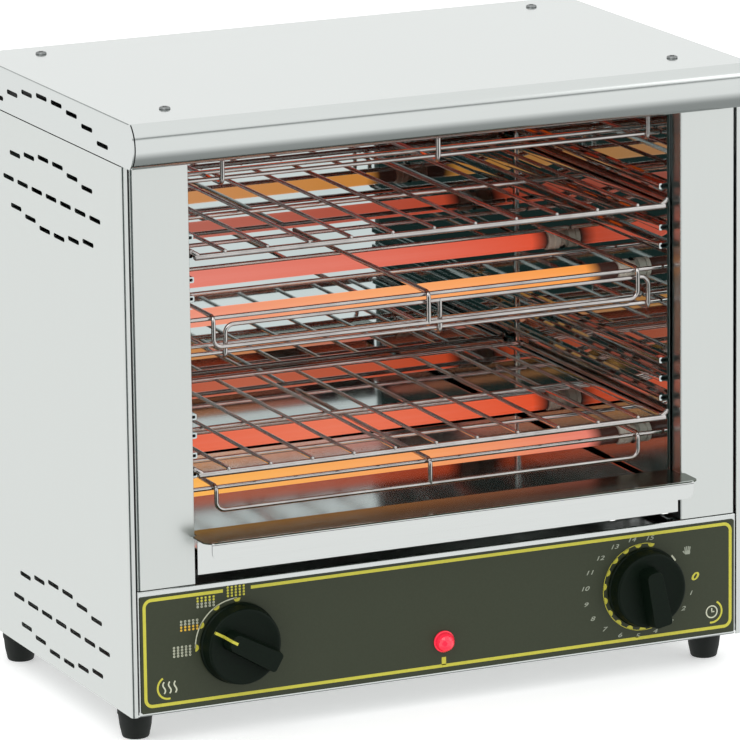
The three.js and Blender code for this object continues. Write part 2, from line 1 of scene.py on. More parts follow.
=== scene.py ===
"""Looks of a two-level infrared toaster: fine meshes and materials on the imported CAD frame.

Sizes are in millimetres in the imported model's frame: +X to the right of a person facing the
front, +Y to the back, +Z up. Meshes, materials and the stage at the end are in metres.
"""

import math

import bmesh
import bpy
from mathutils import Matrix, Vector
from mathutils.geometry import tessellate_polygon


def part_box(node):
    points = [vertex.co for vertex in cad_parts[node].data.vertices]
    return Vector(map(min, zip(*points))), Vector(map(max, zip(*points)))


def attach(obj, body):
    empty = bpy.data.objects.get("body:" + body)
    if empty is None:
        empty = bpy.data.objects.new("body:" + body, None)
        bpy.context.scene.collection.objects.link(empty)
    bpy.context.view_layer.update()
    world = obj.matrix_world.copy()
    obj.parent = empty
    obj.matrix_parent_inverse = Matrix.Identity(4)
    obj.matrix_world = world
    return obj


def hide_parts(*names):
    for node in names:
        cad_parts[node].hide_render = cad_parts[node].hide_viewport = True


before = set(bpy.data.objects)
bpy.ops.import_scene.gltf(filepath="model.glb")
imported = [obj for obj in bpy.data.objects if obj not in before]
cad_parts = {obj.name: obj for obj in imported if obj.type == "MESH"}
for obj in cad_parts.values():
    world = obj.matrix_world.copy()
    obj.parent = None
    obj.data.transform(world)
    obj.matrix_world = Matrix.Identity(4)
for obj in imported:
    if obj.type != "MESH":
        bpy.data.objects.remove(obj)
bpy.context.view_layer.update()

MM = 0.001


def box(node):
    """Lowest and highest corner of a CAD node, in millimetres."""
    low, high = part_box(node)
    return low / MM, high / MM


def spans(node):
    """Lowest corner, highest corner and middle of a CAD node."""
    low, high = box(node)
    return low, high, (low + high) / 2


def middle(node):
    return spans(node)[2]


# ---- driving sizes ----

PANEL_LOW, PANEL_HIGH = box("side_panel_right")
LID_LOW, LID_HIGH = box("lid")
COLUMN_LOW, COLUMN_HIGH = box("front_column_right")
FASCIA_LOW, FASCIA_HIGH = box("control_fascia")
OVERLAY_LOW, OVERLAY_HIGH = box("control_overlay")
LINER_LOW, LINER_HIGH = box("side_liner_right")

HALF = PANEL_HIGH.x
FRONT = PANEL_LOW.y
REAR = PANEL_HIGH.y
MID_Y = (FRONT + REAR) / 2
SHEET = 1.0
GAP = 0.3
LEVELS = ("bottom", "mid", "top")
ROWS = ("front", "rear")
TUBES = [(level, row) for level in LEVELS for row in ROWS]
SIDES = {"left": -1, "right": 1}
CORNERS = [(row, side) for row in ROWS for side in SIDES]


# ---- shapes: each is a (vertices, faces) pair in millimetres ----

def rounded(points, radius, closed=True, steps=6):
    """The chain of points with its corners turned into arcs. radius is a number or a list."""
    chain = [Vector(p) for p in points]
    radii = radius if isinstance(radius, (list, tuple)) else [radius] * len(chain)
    result = []
    for i, corner in enumerate(chain):
        is_end = not closed and i in (0, len(chain) - 1)
        if is_end or radii[i] <= 0:
            result.append(corner)
            continue
        before = chain[i - 1] - corner
        after = chain[(i + 1) % len(chain)] - corner
        angle = before.angle(after)
        sweep = math.pi - angle
        if sweep < 0.01:
            result.append(corner)
            continue
        reach = min(radii[i] / math.tan(angle / 2), 0.49 * before.length, 0.49 * after.length)
        toward = (before.normalized() + after.normalized()).normalized()
        centre = corner + toward * (reach / math.cos(angle / 2))
        a = corner + before.normalized() * reach - centre
        b = corner + after.normalized() * reach - centre
        for k in range(steps + 1):
            t = k / steps * sweep
            result.append(centre + (a * math.sin(sweep - t) + b * math.sin(t)) / math.sin(sweep))
    return result


def bent(points, radius, steps=10):
    """An open chain with rounded bends."""
    return rounded(points, radius, closed=False, steps=steps)


def on_circle(cx, cy, radius, angle):
    """The point of a circle at an angle in degrees."""
    a = math.radians(angle)
    return Vector((cx + radius * math.cos(a), cy + radius * math.sin(a)))


def arc(cx, cy, radius, start, end, steps):
    """Points of an arc about (cx, cy) between two angles in degrees."""
    return [on_circle(cx, cy, radius, start + (end - start) * i / steps) for i in range(steps + 1)]


def circle(cx, cy, radius, sides=36):
    return arc(cx, cy, radius, 0, 360 - 360 / sides, sides - 1)


def rectangle(x0, x1, y0, y1):
    return [(x0, y0), (x1, y0), (x1, y1), (x0, y1)]


def stadium(cx, cy, length, width, steps=8):
    """A slot's outline with round ends, lying along the first axis."""
    r = width / 2
    reach = length / 2 - r
    return arc(cx + reach, cy, r, -90, 90, steps) + arc(cx - reach, cy, r, 90, 270, steps)


def prism(outline, axis, low, high, holes=()):
    """An outline with holes, extruded along x, y or z. Its two numbers are the other two axes."""
    place = {
        "x": lambda u, v, h: (h, u, v),
        "y": lambda u, v, h: (u, h, v),
        "z": lambda u, v, h: (u, v, h),
    }[axis]
    rings = [[Vector((p[0], p[1], 0)) for p in ring] for ring in (outline, *holes)]
    flat = [p for ring in rings for p in ring]
    count = len(flat)
    vertices = [place(p.x, p.y, height) for height in (low, high) for p in flat]
    caps = [tuple(triangle) for triangle in tessellate_polygon(rings)]
    faces = caps + [tuple(i + count for i in triangle) for triangle in caps]
    start = 0
    for ring in rings:
        for i in range(len(ring)):
            a = start + i
            b = start + (i + 1) % len(ring)
            faces.append((a, b, b + count, a + count))
        start += len(ring)
    return vertices, faces


def block(x0, x1, y0, y1, z0, z1):
    return prism(rectangle(x0, x1, y0, y1), "z", z0, z1)


def lathe(profile, centre, direction, sides):
    """A profile of (radius, height) points turned about a line through centre."""
    axis = Vector(direction).normalized()
    turn = Vector((0, 0, 1)).rotation_difference(axis).to_matrix()
    vertices, faces, rings = [], [], []
    for radius, height in profile:
        count = 1 if radius < 1e-6 else sides
        rings.append((len(vertices), count))
        for i in range(count):
            angle = 2 * math.pi * i / sides
            local = Vector((radius * math.cos(angle), radius * math.sin(angle), height))
            vertices.append(Vector(centre) + turn @ local)
    for (a, a_count), (b, b_count) in zip(rings, rings[1:]):
        for i in range(sides):
            j = (i + 1) % sides
            if a_count == 1:
                faces.append((a, b + i, b + j))
            elif b_count == 1:
                faces.append((a + i, b, a + j))
            else:
                faces.append((a + i, b + i, b + j, a + j))
    return vertices, faces


def tube(points, radius, sides):
    """A round wire along a chain of points, its ends slightly rounded."""
    chain = [Vector(p) for p in points]
    stations = []
    for i, point in enumerate(chain):
        tangent = (chain[min(i + 1, len(chain) - 1)] - chain[max(i - 1, 0)]).normalized()
        stations.append((point, tangent, radius))
    first, last = stations[0], stations[-1]
    stations[0] = (first[0] + first[1] * radius * 0.4, first[1], radius)
    stations[-1] = (last[0] - last[1] * radius * 0.4, last[1], radius)
    stations.insert(0, (first[0], first[1], radius * 0.6))
    stations.append((last[0], last[1], radius * 0.6))
    side = stations[0][1].orthogonal().normalized()
    vertices, faces = [], []
    for point, tangent, size in stations:
        side = (side - tangent * side.dot(tangent)).normalized()
        other = tangent.cross(side)
        for k in range(sides):
            angle = 2 * math.pi * k / sides
            vertices.append(point + (side * math.cos(angle) + other * math.sin(angle)) * size)
    for i in range(len(stations) - 1):
        for k in range(sides):
            a = i * sides + k
            b = i * sides + (k + 1) % sides
            faces.append((a, b, b + sides, a + sides))
    faces.append(tuple(range(sides)))
    faces.append(tuple(range(len(vertices) - sides, len(vertices))))
    return vertices, faces


def joined(shapes):
    vertices, faces = [], []
    for shape_vertices, shape_faces in shapes:
        start = len(vertices)
        vertices.extend(shape_vertices)
        faces.extend(tuple(i + start for i in face) for face in shape_faces)
    return vertices, faces


def moved(shape, matrix):
    return [matrix @ Vector(v) for v in shape[0]], shape[1]


def mirrored(shape, side):
    """The shape itself on the right, and its mirror image on the left."""
    return [(v[0] * side, v[1], v[2]) for v in shape[0]], shape[1]


def to_mesh(name, shape):
    """A Blender mesh in metres, its faces pointing out."""
    mesh = bpy.data.meshes.new(name)
    mesh.from_pydata([Vector(v) * MM for v in shape[0]], [], shape[1])
    work = bmesh.new()
    work.from_mesh(mesh)
    bmesh.ops.recalc_face_normals(work, faces=work.faces)
    work.to_mesh(mesh)
    work.free()
    return mesh


def new_object(name, data):
    obj = bpy.data.objects.new(name, data)
    bpy.context.scene.collection.objects.link(obj)
    return obj


def final_mesh(obj):
    """The object's mesh with its modifiers or curve settings worked in."""
    return bpy.data.meshes.new_from_object(obj.evaluated_get(bpy.context.evaluated_depsgraph_get()))


def cut(shape, holes):
    """The shape less the holes."""
    body = new_object("body", to_mesh("body", shape))
    tool = new_object("tool", to_mesh("tool", joined(holes)))
    modifier = body.modifiers.new("cut", "BOOLEAN")
    modifier.operation = "DIFFERENCE"
    modifier.solver = "EXACT"
    modifier.object = tool
    result = final_mesh(body)
    vertices = [v.co / MM for v in result.vertices]
    faces = [tuple(polygon.vertices) for polygon in result.polygons]
    for obj in (body, tool):
        bpy.data.objects.remove(obj)
    return vertices, faces


# ---- materials ----

def srgb(red, green, blue):
    """A colour given as 0 to 255 on the screen, as linear numbers with alpha."""
    def linear(value):
        part = value / 255
        return part / 12.92 if part <= 0.04045 else ((part + 0.055) / 1.055) ** 2.4
    return (linear(red), linear(green), linear(blue), 1.0)


def shader_of(material):
    return material.node_tree.nodes["Principled BSDF"]


def new_material(name, colour, roughness, metallic=0.0, **settings):
    """A principled material. Settings are sockets of the shader, such as Coat_Weight."""
    material = bpy.data.materials.new(name)
    material.use_nodes = True
    shader = shader_of(material)
    shader.inputs["Base Color"].default_value = colour
    shader.inputs["Roughness"].default_value = roughness
    shader.inputs["Metallic"].default_value = metallic
    for label, value in settings.items():
        shader.inputs[label.replace("_", " ")].default_value = value
    return material


def node(material, kind, **inputs):
    made = material.node_tree.nodes.new(kind)
    for label, value in inputs.items():
        made.inputs[label.replace("_", " ")].default_value = value
    return made


def grain(material, stretch, scale, detail=3.0):
    """Noise in the object's own space, stretched by the given factors. Returns its value socket."""
    links = material.node_tree.links
    place = node(material, "ShaderNodeTexCoord")
    mapping = node(material, "ShaderNodeMapping", Scale=stretch)
    noise = node(material, "ShaderNodeTexNoise", Scale=scale, Detail=detail)
    links.new(place.outputs["Object"], mapping.inputs["Vector"])
    links.new(mapping.outputs["Vector"], noise.inputs["Vector"])
    return noise.outputs["Fac"]


def ramp(material, source, stops):
    """A colour ramp fed by a value. stops are (position, colour)."""
    made = node(material, "ShaderNodeValToRGB")
    material.node_tree.links.new(source, made.inputs["Fac"])
    elements = made.color_ramp.elements
    while len(elements) < len(stops):
        elements.new(0.5)
    for element, (position, colour) in zip(elements, stops):
        element.position = position
        element.color = colour
    return made.outputs["Color"]


def grey(value):
    return (value, value, value, 1.0)


def vary(material, fac, colours, roughness, bump=0.0, distance=0.0):
    """Feeds a noise value to the colour, the roughness and the bump of a material."""
    links = material.node_tree.links
    shader = shader_of(material)
    for values, label in ((colours, "Base Color"), ([grey(value) for value in roughness], "Roughness")):
        links.new(ramp(material, fac, [(0.3, values[0]), (0.7, values[1])]), shader.inputs[label])
    if bump:
        relief = node(material, "ShaderNodeBump", Strength=bump, Distance=distance)
        links.new(fac, relief.inputs["Height"])
        links.new(relief.outputs["Normal"], shader.inputs["Normal"])


def brushed(name, light, dark, stretch, roughness):
    """Satin stainless steel with a fine directional grain."""
    material = new_material(name, srgb(*light), roughness, metallic=1.0)
    vary(material, grain(material, stretch, 240.0, 4.0), (srgb(*dark), srgb(*light)),
         (roughness - 0.005, roughness + 0.005))
    return material


def speckled(name, light, dark, roughness, scale, bump, **settings):
    """Plastic, rubber, paint or ceramic with a fine all-over texture."""
    material = new_material(name, srgb(*light), roughness, **settings)
    vary(material, grain(material, EVEN, scale), (srgb(*dark), srgb(*light)),
         (roughness - 0.04, roughness + 0.04), bump, 0.00005)
    return material


def ink(name, light, dark):
    """A matt print on the overlay film."""
    return speckled(name, light, dark, 0.5, 400.0, 0.03, **DULL)


def emit(material, colour, strength):
    """Emission whose colour comes from a socket."""
    shader = shader_of(material)
    material.node_tree.links.new(colour, shader.inputs["Emission Color"])
    shader.inputs["Emission Strength"].default_value = strength


def glow_along(material, low, high, stops, strength):
    """Emission that follows the place along a tube lying along X, between two places in metres."""
    links = material.node_tree.links
    place = node(material, "ShaderNodeTexCoord")
    split = node(material, "ShaderNodeSeparateXYZ")
    share = node(material, "ShaderNodeMapRange", From_Min=low, From_Max=high)
    links.new(place.outputs["Object"], split.inputs["Vector"])
    links.new(split.outputs["X"], share.inputs["Value"])
    emit(material, ramp(material, share.outputs["Result"], stops), strength)


EVEN = (1, 1, 1)
UPRIGHT = (4, 4, 0.1)
LENGTHWISE = (0.1, 4, 4)
DULL = {"Specular_IOR_Level": 0.22}

STEEL = brushed("brushed steel upright", (219, 222, 220), (218, 221, 219), UPRIGHT, 0.28)
LID_STEEL = brushed("brushed steel lengthwise", (219, 222, 221), (218, 221, 220), LENGTHWISE, 0.13)
TRAY_STEEL = brushed("bright tray steel", (222, 224, 223), (220, 222, 221), LENGTHWISE, 0.10)
SCREW_STEEL = brushed("screw steel", (150, 152, 152), (132, 135, 135), EVEN, 0.3)
# The tray lip is steel; its dark olive colour is a painted reflection of the dark cavity, dark from every
# side
TRAY_LIP_PAINTED_REFLECTION = brushed("tray lip painted dark reflection", (62, 74, 56), (58, 70, 52), LENGTHWISE, 0.2)
COPPER = brushed("terminal metal", (190, 184, 172), (168, 160, 148), EVEN, 0.35)
MIRROR = new_material("reflector mirror", srgb(206, 214, 214), 0.02, metallic=1.0)
vary(MIRROR, grain(MIRROR, EVEN, 9.0), (srgb(196, 206, 206), srgb(206, 215, 215)), (0.012, 0.03))
CHROME = new_material("chromed wire", srgb(204, 200, 200), 0.14, metallic=1.0)
vary(CHROME, grain(CHROME, EVEN, 45.0), (srgb(184, 178, 176), srgb(212, 208, 206)), (0.10, 0.20),
     0.03, 0.0001)
FILM = speckled("overlay film", (56, 61, 46), (53, 58, 43), 0.42, 700.0, 0.05, **DULL)
YELLOW = ink("yellow print", (194, 188, 72), (187, 181, 66))
WHITE = ink("pale print", (196, 198, 176), (188, 190, 168))
DIM_PRINT = ink("dial numbers", (150, 155, 140), (143, 148, 133))
ORANGE = ink("orange print", (214, 172, 60), (206, 164, 54))
KNOB = speckled("knob plastic", (12, 24, 15), (9, 19, 12), 0.45, 500.0, 0.08, Specular_IOR_Level=0.12)
RUBBER = speckled("foot rubber", (20, 26, 22), (15, 20, 17), 0.7, 300.0, 0.2)
MOULDING = speckled("black moulding", (34, 37, 39), (28, 31, 33), 0.45, 400.0, 0.1)
CERAMIC = speckled("steatite", (214, 207, 194), (198, 190, 176), 0.6, 250.0, 0.15)

LAMP_GLASS = new_material("lit red lens", srgb(222, 24, 52), 0.12, Coat_Weight=0.6)
LAMP_FACING = node(LAMP_GLASS, "ShaderNodeLayerWeight", Blend=0.35).outputs["Facing"]
emit(LAMP_GLASS, ramp(LAMP_GLASS, LAMP_FACING, [(0.0, srgb(255, 60, 84)), (0.8, srgb(150, 0, 26))]), 0.55)

COIL_HALF = box("heating_coil_top_front")[1].x
COIL_END = srgb(214, 74, 40)
COIL_NEAR_END = srgb(240, 128, 66)
UNLIT = (0.02, 0.008, 0.006, 1.0)
GLOW_LEFT = -0.166
GLOW_RIGHT = {"front": 0.150, "rear": 0.162}
GLOW = {  # along each tube: at its left end, its middle and its right end
    ("top", "front"): ((255, 84, 24), (255, 92, 22), (255, 76, 10)),
    ("top", "rear"): ((180, 34, 26), (204, 50, 28), (206, 60, 34)),
    ("mid", "front"): ((240, 148, 128), (255, 172, 112), (255, 162, 74)),
    ("mid", "rear"): ((232, 138, 124), (230, 122, 104), (224, 84, 56)),
    ("bottom", "front"): ((255, 186, 86), (252, 168, 98), (234, 130, 112)),
    ("bottom", "rear"): ((232, 100, 72), (238, 122, 92), (226, 82, 46)),
}
QUARTZ = {}
for (level, row), (left_end, centre, right_end) in GLOW.items():
    QUARTZ[level, row] = new_material(f"glowing quartz {level} {row}", srgb(60, 44, 40), 0.16,
                                      Specular_IOR_Level=0.2)
    glow_along(QUARTZ[level, row], GLOW_LEFT, GLOW_RIGHT[row], [
        (0.0, srgb(*left_end)), (0.5, srgb(*centre)), (0.965, srgb(*right_end)), (1.0, UNLIT)], 0.92)
COIL = new_material("glowing coil", srgb(90, 60, 50), 0.5, metallic=0.4)
glow_along(COIL, -COIL_HALF * MM, COIL_HALF * MM, [
    (0.0, COIL_END), (0.1, COIL_NEAR_END), (0.5, srgb(255, 178, 98)),
    (0.9, COIL_NEAR_END), (1.0, COIL_END)], 1.6)


# ---- pieces ----

def piece(name, shapes, material, slot, body="housing", replaces=(), edge=0.0, smooth=32):
    """A named mesh that rides a body. edge rounds its sharp edges by so many millimetres."""
    mesh = to_mesh(name, joined(shapes))
    if edge:
        work = bmesh.new()
        work.from_mesh(mesh)
        sharp = [e for e in work.edges if e.is_manifold and e.calc_face_angle() > math.radians(40)]
        bmesh.ops.bevel(work, geom=sharp, offset=edge * MM, segments=3, profile=0.5,
                        affect="EDGES", clamp_overlap=True)
        work.to_mesh(mesh)
        work.free()
    for polygon in mesh.polygons:
        polygon.use_smooth = True
    mesh.set_sharp_from_angle(angle=math.radians(smooth))
    mesh.materials.append(material)
    obj = new_object(name, mesh)
    weighted = obj.modifiers.new("flat faces stay flat", "WEIGHTED_NORMAL")
    weighted.keep_sharp = True
    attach(obj, body)
    if replaces:
        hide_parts(*replaces)


def stand_in(node_name, part, shapes, material, slot, **more):
    """The fine mesh that replaces one CAD node."""
    piece(f"{node_name}_{part}", shapes, material, slot, replaces=[node_name], **more)


def finish_node(name, material):
    """A CAD solid that stays, in a better material."""
    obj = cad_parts[name]
    for material_slot in obj.material_slots:
        material_slot.material = material


# ---- housing ----

SLOT_LENGTH = 19.0
SLOT_HEIGHT = 3.1
SLOT_PITCH = 25.3
SLOT_SHIFT = -9.0
LENS_HEIGHTS = (346.3, 54.9)
LENS_ROW_GAP = 18.0
LENS_BOW = 6.0


def side_slot(along, height, side):
    """A cutter for one vent slot through a side wall. along is measured from the housing's middle."""
    outline = stadium(MID_Y + SLOT_SHIFT + along, height, SLOT_LENGTH, SLOT_HEIGHT)
    return mirrored(prism(outline, "x", HALF - 6, HALF + 2), side)


def lens(centre, side):
    """Six slots arched up, seven straight and six arched down."""
    slots = []
    for count, way in ((6, 1), (7, 0), (6, -1)):
        for i in range(count):
            place = i - (count - 1) / 2
            fall = LENS_BOW * (abs(place) - 0.5) / 2
            height = centre + way * (LENS_ROW_GAP + LENS_BOW - fall)
            slots.append(side_slot(place * SLOT_PITCH, height, side))
    return slots


def make_side_panels():
    flange = 4.4
    rear_flange = 14.0
    section = rounded([
        (HALF - flange, FRONT), (HALF, FRONT), (HALF, REAR), (HALF - rear_flange, REAR),
        (HALF - rear_flange, REAR - SHEET), (HALF - SHEET, REAR - SHEET),
        (HALF - SHEET, FRONT + SHEET), (HALF - flange, FRONT + SHEET),
    ], [0.3, 2.0, 2.0, 0.3, 0.3, 1.0, 1.0, 0.3])
    for name, side in SIDES.items():
        panel = mirrored(prism(section, "z", PANEL_LOW.z, PANEL_HIGH.z), side)
        slots = [slot for centre in LENS_HEIGHTS for slot in lens(centre, side)]
        stand_in(f"side_panel_{name}", "sheet", [cut(panel, slots)], STEEL, "housing_steel")


LID_SLOTS = 8
LID_SLOT_PITCH = 26.2
LID_SLOT_TOP = 412.0
LID_SLOT_FALL = 13.5
NOSE_R = 18.75
NOSE_Y = LID_LOW.y + NOSE_R
NOSE_Z = LID_HIGH.z - 15.0
NOSE_SEAM = 0.9


def nose_arc(radius, top, low):
    """The nose's outline between two heights, as (y, z) points from the top down."""
    up = math.degrees(math.asin((top - NOSE_Z) / radius))
    down = math.degrees(math.asin((NOSE_Z - low) / radius))
    return arc(NOSE_Y, NOSE_Z, radius, 180 - up, 180 + down, 40)


def make_lid():
    """A folded channel with a bowed nose in front, whose ends are closed by cheeks."""
    low, top = LID_LOW.z, LID_HIGH.z
    section = rounded([
        (-HALF, low), (-HALF, top), (HALF, top), (HALF, low), (HALF - SHEET, low),
        (HALF - SHEET, top - SHEET), (SHEET - HALF, top - SHEET), (SHEET - HALF, low),
    ], [0.3, 1.6, 1.6, 0.3, 0.3, 0.6, 0.6, 0.3])
    last = (LID_SLOTS - 1) / 2
    places = [i - last for i in range(LID_SLOTS)]
    slots = [side_slot(p * LID_SLOT_PITCH, LID_SLOT_TOP - LID_SLOT_FALL * (p / last) ** 2, side)
             for p in places for side in SIDES.values()]
    nose = nose_arc(NOSE_R, top, low)
    nose_back = nose[0].x
    shapes = [cut(prism(section, "y", nose_back, REAR), slots)]
    for side in SIDES.values():
        shapes.append(mirrored(prism(nose + [(nose_back, low)], "x", HALF - SHEET, HALF), side))
    inner = nose_arc(NOSE_R - SHEET, top - SHEET, low + SHEET) + [(FRONT + 0.5, low + SHEET)]
    inside = HALF - SHEET - NOSE_SEAM
    shapes.append(prism(nose + [(FRONT + 0.5, low)] + inner[::-1], "x", -inside, inside))
    shapes.append(block(SHEET - HALF, HALF - SHEET, REAR - SHEET, REAR, low, top - 0.5))
    stand_in("lid", "sheet", shapes, LID_STEEL, "housing_steel")


def make_lid_baffles():
    """Dark boards behind the lid's vent slots: painted shade, so the slots look black inside."""
    board = block(HALF - 9, HALF - 7, FRONT + 8, REAR - 8, LID_LOW.z + 1, LID_HIGH.z - 2)
    for name, side in SIDES.items():
        piece(f"lid_insulation_{name}", [mirrored(board, side)], MOULDING, "mouldings", edge=0.3)


def cross(x, y, reach, half_width, turn):
    """The outline of a cross recess, turned by an angle in degrees."""
    a, b = reach, half_width
    corners = [(a, -b), (a, b), (b, b), (b, a), (-b, a), (-b, b), (-a, b), (-a, -b), (-b, -b), (-b, -a),
               (b, -a), (b, -b)]
    rotation = Matrix.Rotation(math.radians(turn), 2)
    return [rotation @ Vector(corner) + Vector((x, y)) for corner in corners]


def make_lid_screws():
    """Pan heads with a cross recess, and the shanks below them."""
    for row, side in CORNERS:
        name = f"lid_screw_{row}_{side}"
        low, high, centre = spans(name)
        seat = LID_HIGH.z
        head = 0.68 * (high.z - seat)
        profile = [(0, low.z - seat), (1.6, low.z - seat), (2.0, low.z - seat + 1), (2.0, 0.1),
                   (3.7, 0.1), (3.8, 0.4), (3.7, 0.8), (3.3, 1.2), (2.6, head - 0.2), (0, head)]
        shape = lathe(profile, (centre.x, centre.y, seat), (0, 0, 1), 40)
        recess = prism(cross(centre.x, centre.y, 2.0, 0.45, 20), "z", seat + head - 1.0, seat + head + 2)
        stand_in(name, "head", [cut(shape, [recess])], SCREW_STEEL, "screws")


def make_columns():
    """Front columns: channels open to the back, the outer edge rounded."""
    inner, outer = COLUMN_LOW.x, COLUMN_HIGH.x
    back = COLUMN_HIGH.y
    section = rounded([
        (inner, back), (inner, FRONT), (outer, FRONT), (outer, back), (outer - SHEET, back),
        (outer - SHEET, FRONT + SHEET), (inner + SHEET, FRONT + SHEET), (inner + SHEET, back),
    ], [0.2, 0.7, 2.5, 0.2, 0.2, 1.5, 0.4, 0.2])
    for name, side in SIDES.items():
        column = mirrored(prism(section, "z", COLUMN_LOW.z, COLUMN_HIGH.z), side)
        stand_in(f"front_column_{name}", "sheet", [column], STEEL, "housing_steel")


REAR_SLOTS = 7
REAR_SLOT_PITCH = 36.0
REAR_SLOT_Z = 80.0
REAR_SLOT_LENGTH = 21.2
REAR_SLOT_HEIGHT = 3.2
GLAND_HOLE_R = 9.0


def make_rear_panel():
    low, high = box("rear_panel")
    gland = middle("cable_gland")
    holes = [stadium((i - (REAR_SLOTS - 1) / 2) * REAR_SLOT_PITCH, REAR_SLOT_Z,
                     REAR_SLOT_LENGTH, REAR_SLOT_HEIGHT) for i in range(REAR_SLOTS)]
    holes.append(circle(gland.x, gland.z, GLAND_HOLE_R))
    sheet = prism(rectangle(low.x, high.x, low.z, high.z), "y", low.y, high.y, holes)
    stand_in("rear_panel", "sheet", [sheet], STEEL, "housing_steel")


def make_feet():
    """Tapered rubber feet with a step under the housing and a hollow for the screw below."""
    for row, side in CORNERS:
        name = f"foot_{row}_{side}"
        low, high, centre = spans(name)
        height = high.z
        profile = [(0, 3.5), (4.2, 3.5), (4.4, 0.3), (4.8, 0), (8.0, 0), (8.6, 0.3), (9.1, 1.0),
                   (10.6, 8), (11.4, 15), (11.5, 15.6), (11.9, 16), (12, 16.6),
                   (12, height - 0.4), (11.6, height), (0, height)]
        stand_in(name, "rubber", [lathe(profile, (centre.x, centre.y, 0), (0, 0, 1), 56)], RUBBER, "feet")


GLAND_BORE_R = 4.2
GLAND_FLAT_R = 12.8
GLAND_RIBS = 18


def make_gland():
    """A cable gland: threaded body, hexagonal base and a domed clamping nut with ribs."""
    bore_r = GLAND_BORE_R
    low, high, centre = spans("cable_gland")
    seat = REAR - SHEET + 1.3
    reach = high.y - seat
    place = (centre.x, seat, centre.z)
    body = lathe([(bore_r, low.y - seat), (8.4, low.y - seat), (8.6, -1.6), (8.6, 0), (bore_r, 0)],
                 place, (0, 1, 0), 40)
    hexagon = rounded(circle(centre.x, centre.z, GLAND_FLAT_R, 6), 1.0)
    base = prism(hexagon, "y", seat, seat + 4.4, [circle(centre.x, centre.z, bore_r)])
    nut = lathe([(bore_r, 4.2), (10.4, 4.2), (10.6, 4.8), (10.4, 7.0), (9.0, reach - 0.6),
                 (7.8, reach), (4.6, reach), (bore_r, reach - 0.4)], place, (0, 1, 0), 48)
    ribs = []
    for i in range(GLAND_RIBS):
        angle = math.radians(360 / GLAND_RIBS * i)
        turn = Matrix.Translation(place) @ Matrix.Rotation(angle, 4, "Y")
        ribs.append(moved(block(10.0, 10.9, 4.6, 7.2, -0.5, 0.5), turn))
    stand_in("cable_gland", "body", [body, base, nut, *ribs], MOULDING, "mouldings", edge=0.15)


# ---- controls ----

KNOBS = {
    "selector_knob": {"centre": middle("selector_switch"), "angle": 150},
    "timer_knob": {"centre": middle("timer_body"), "angle": 101},
}
KNOB_BACK = OVERLAY_LOW.y - 0.5
FILM_TOP = OVERLAY_HIGH.z - 2.2
LAMP_CENTRE = middle("indicator_lamp")
PRINT = 0.06
CONTROL_HOLES = [(knob["centre"], 5.0) for knob in KNOBS.values()] + [(LAMP_CENTRE, 5.6)]


def make_fascia():
    back = FASCIA_HIGH.y
    low, top = FASCIA_LOW.z, FASCIA_HIGH.z
    section = rounded([
        (back, top), (FRONT, top), (FRONT, low), (back, low),
        (back, low + SHEET), (FRONT + SHEET, low + SHEET), (FRONT + SHEET, top - SHEET),
        (back, top - SHEET),
    ], [0.2, 1.4, 1.4, 0.2, 0.2, 0.5, 0.5, 0.2])
    sheet = prism(section, "x", FASCIA_LOW.x, FASCIA_HIGH.x)
    holes = [prism(circle(centre.x, centre.z, r), "y", FRONT - 3, FRONT + 3)
             for centre, r in CONTROL_HOLES]
    stand_in("control_fascia", "sheet", [cut(sheet, holes)], LID_STEEL, "housing_steel")


def make_overlay():
    """The printed film: a thin panel with round corners and holes for the shafts and the lamp."""
    outline = rounded(rectangle(OVERLAY_LOW.x, OVERLAY_HIGH.x, OVERLAY_LOW.z, FILM_TOP), 1.2)
    holes = [circle(centre.x, centre.z, r) for centre, r in CONTROL_HOLES]
    sheet = prism(outline, "y", OVERLAY_LOW.y, OVERLAY_HIGH.y, holes)
    stand_in("control_overlay", "film", [sheet], FILM, "overlay", edge=0.15)


def printed(outline, holes=()):
    """A flat printed mark on the film."""
    return prism(outline, "y", OVERLAY_LOW.y - PRINT, OVERLAY_LOW.y + 0.02, holes)


def stroke(points, width):
    """A printed line of even width along a chain of points."""
    chain = [Vector(p) for p in points]
    left, right = [], []
    for i, point in enumerate(chain):
        along = (chain[min(i + 1, len(chain) - 1)] - chain[max(i - 1, 0)]).normalized()
        across = Vector((-along.y, along.x)) * width / 2
        left.append(point + across)
        right.append(point - across)
    return printed(left + right[::-1])


def ring(x, z, outer, inner):
    return printed(circle(x, z, outer, 16), [circle(x, z, inner, 16)])


def dot(x, z, radius):
    return printed(circle(x, z, radius, 16))


def half_moon(centre, reach, angle, radius):
    """A half-round mark bulging inwards from the dial circle."""
    place = on_circle(centre.x, centre.z, reach, angle)
    return printed(arc(*place, radius, angle + 90, angle + 270, 12))


LETTER_SLANT = 0.3


def text(words, x, z, size, stretch, weight=0.012):
    """Generic dial lettering as a flat printed mark, widened by the stretch factor."""
    curve = bpy.data.curves.new("lettering", "FONT")
    curve.body = words
    curve.size = size * MM
    curve.shear = LETTER_SLANT
    curve.align_x = "CENTER"
    curve.align_y = "CENTER"
    curve.extrude = PRINT / 2 * MM
    curve.offset = weight * size * MM
    obj = new_object("lettering", curve)
    mesh = final_mesh(obj)
    vertices = [(x + stretch * v.co.x / MM, OVERLAY_LOW.y - PRINT / 2 - v.co.z / MM, z + v.co.y / MM)
                for v in mesh.vertices]
    faces = [tuple(polygon.vertices) for polygon in mesh.polygons]
    bpy.data.objects.remove(obj)
    return vertices, faces


BORDER_SIDE = 2.9
BORDER_TOP = 2.5
BORDER_BOTTOM = 4.6
BORDER_WIDTH = 2.2
BORDER_GAP = 10


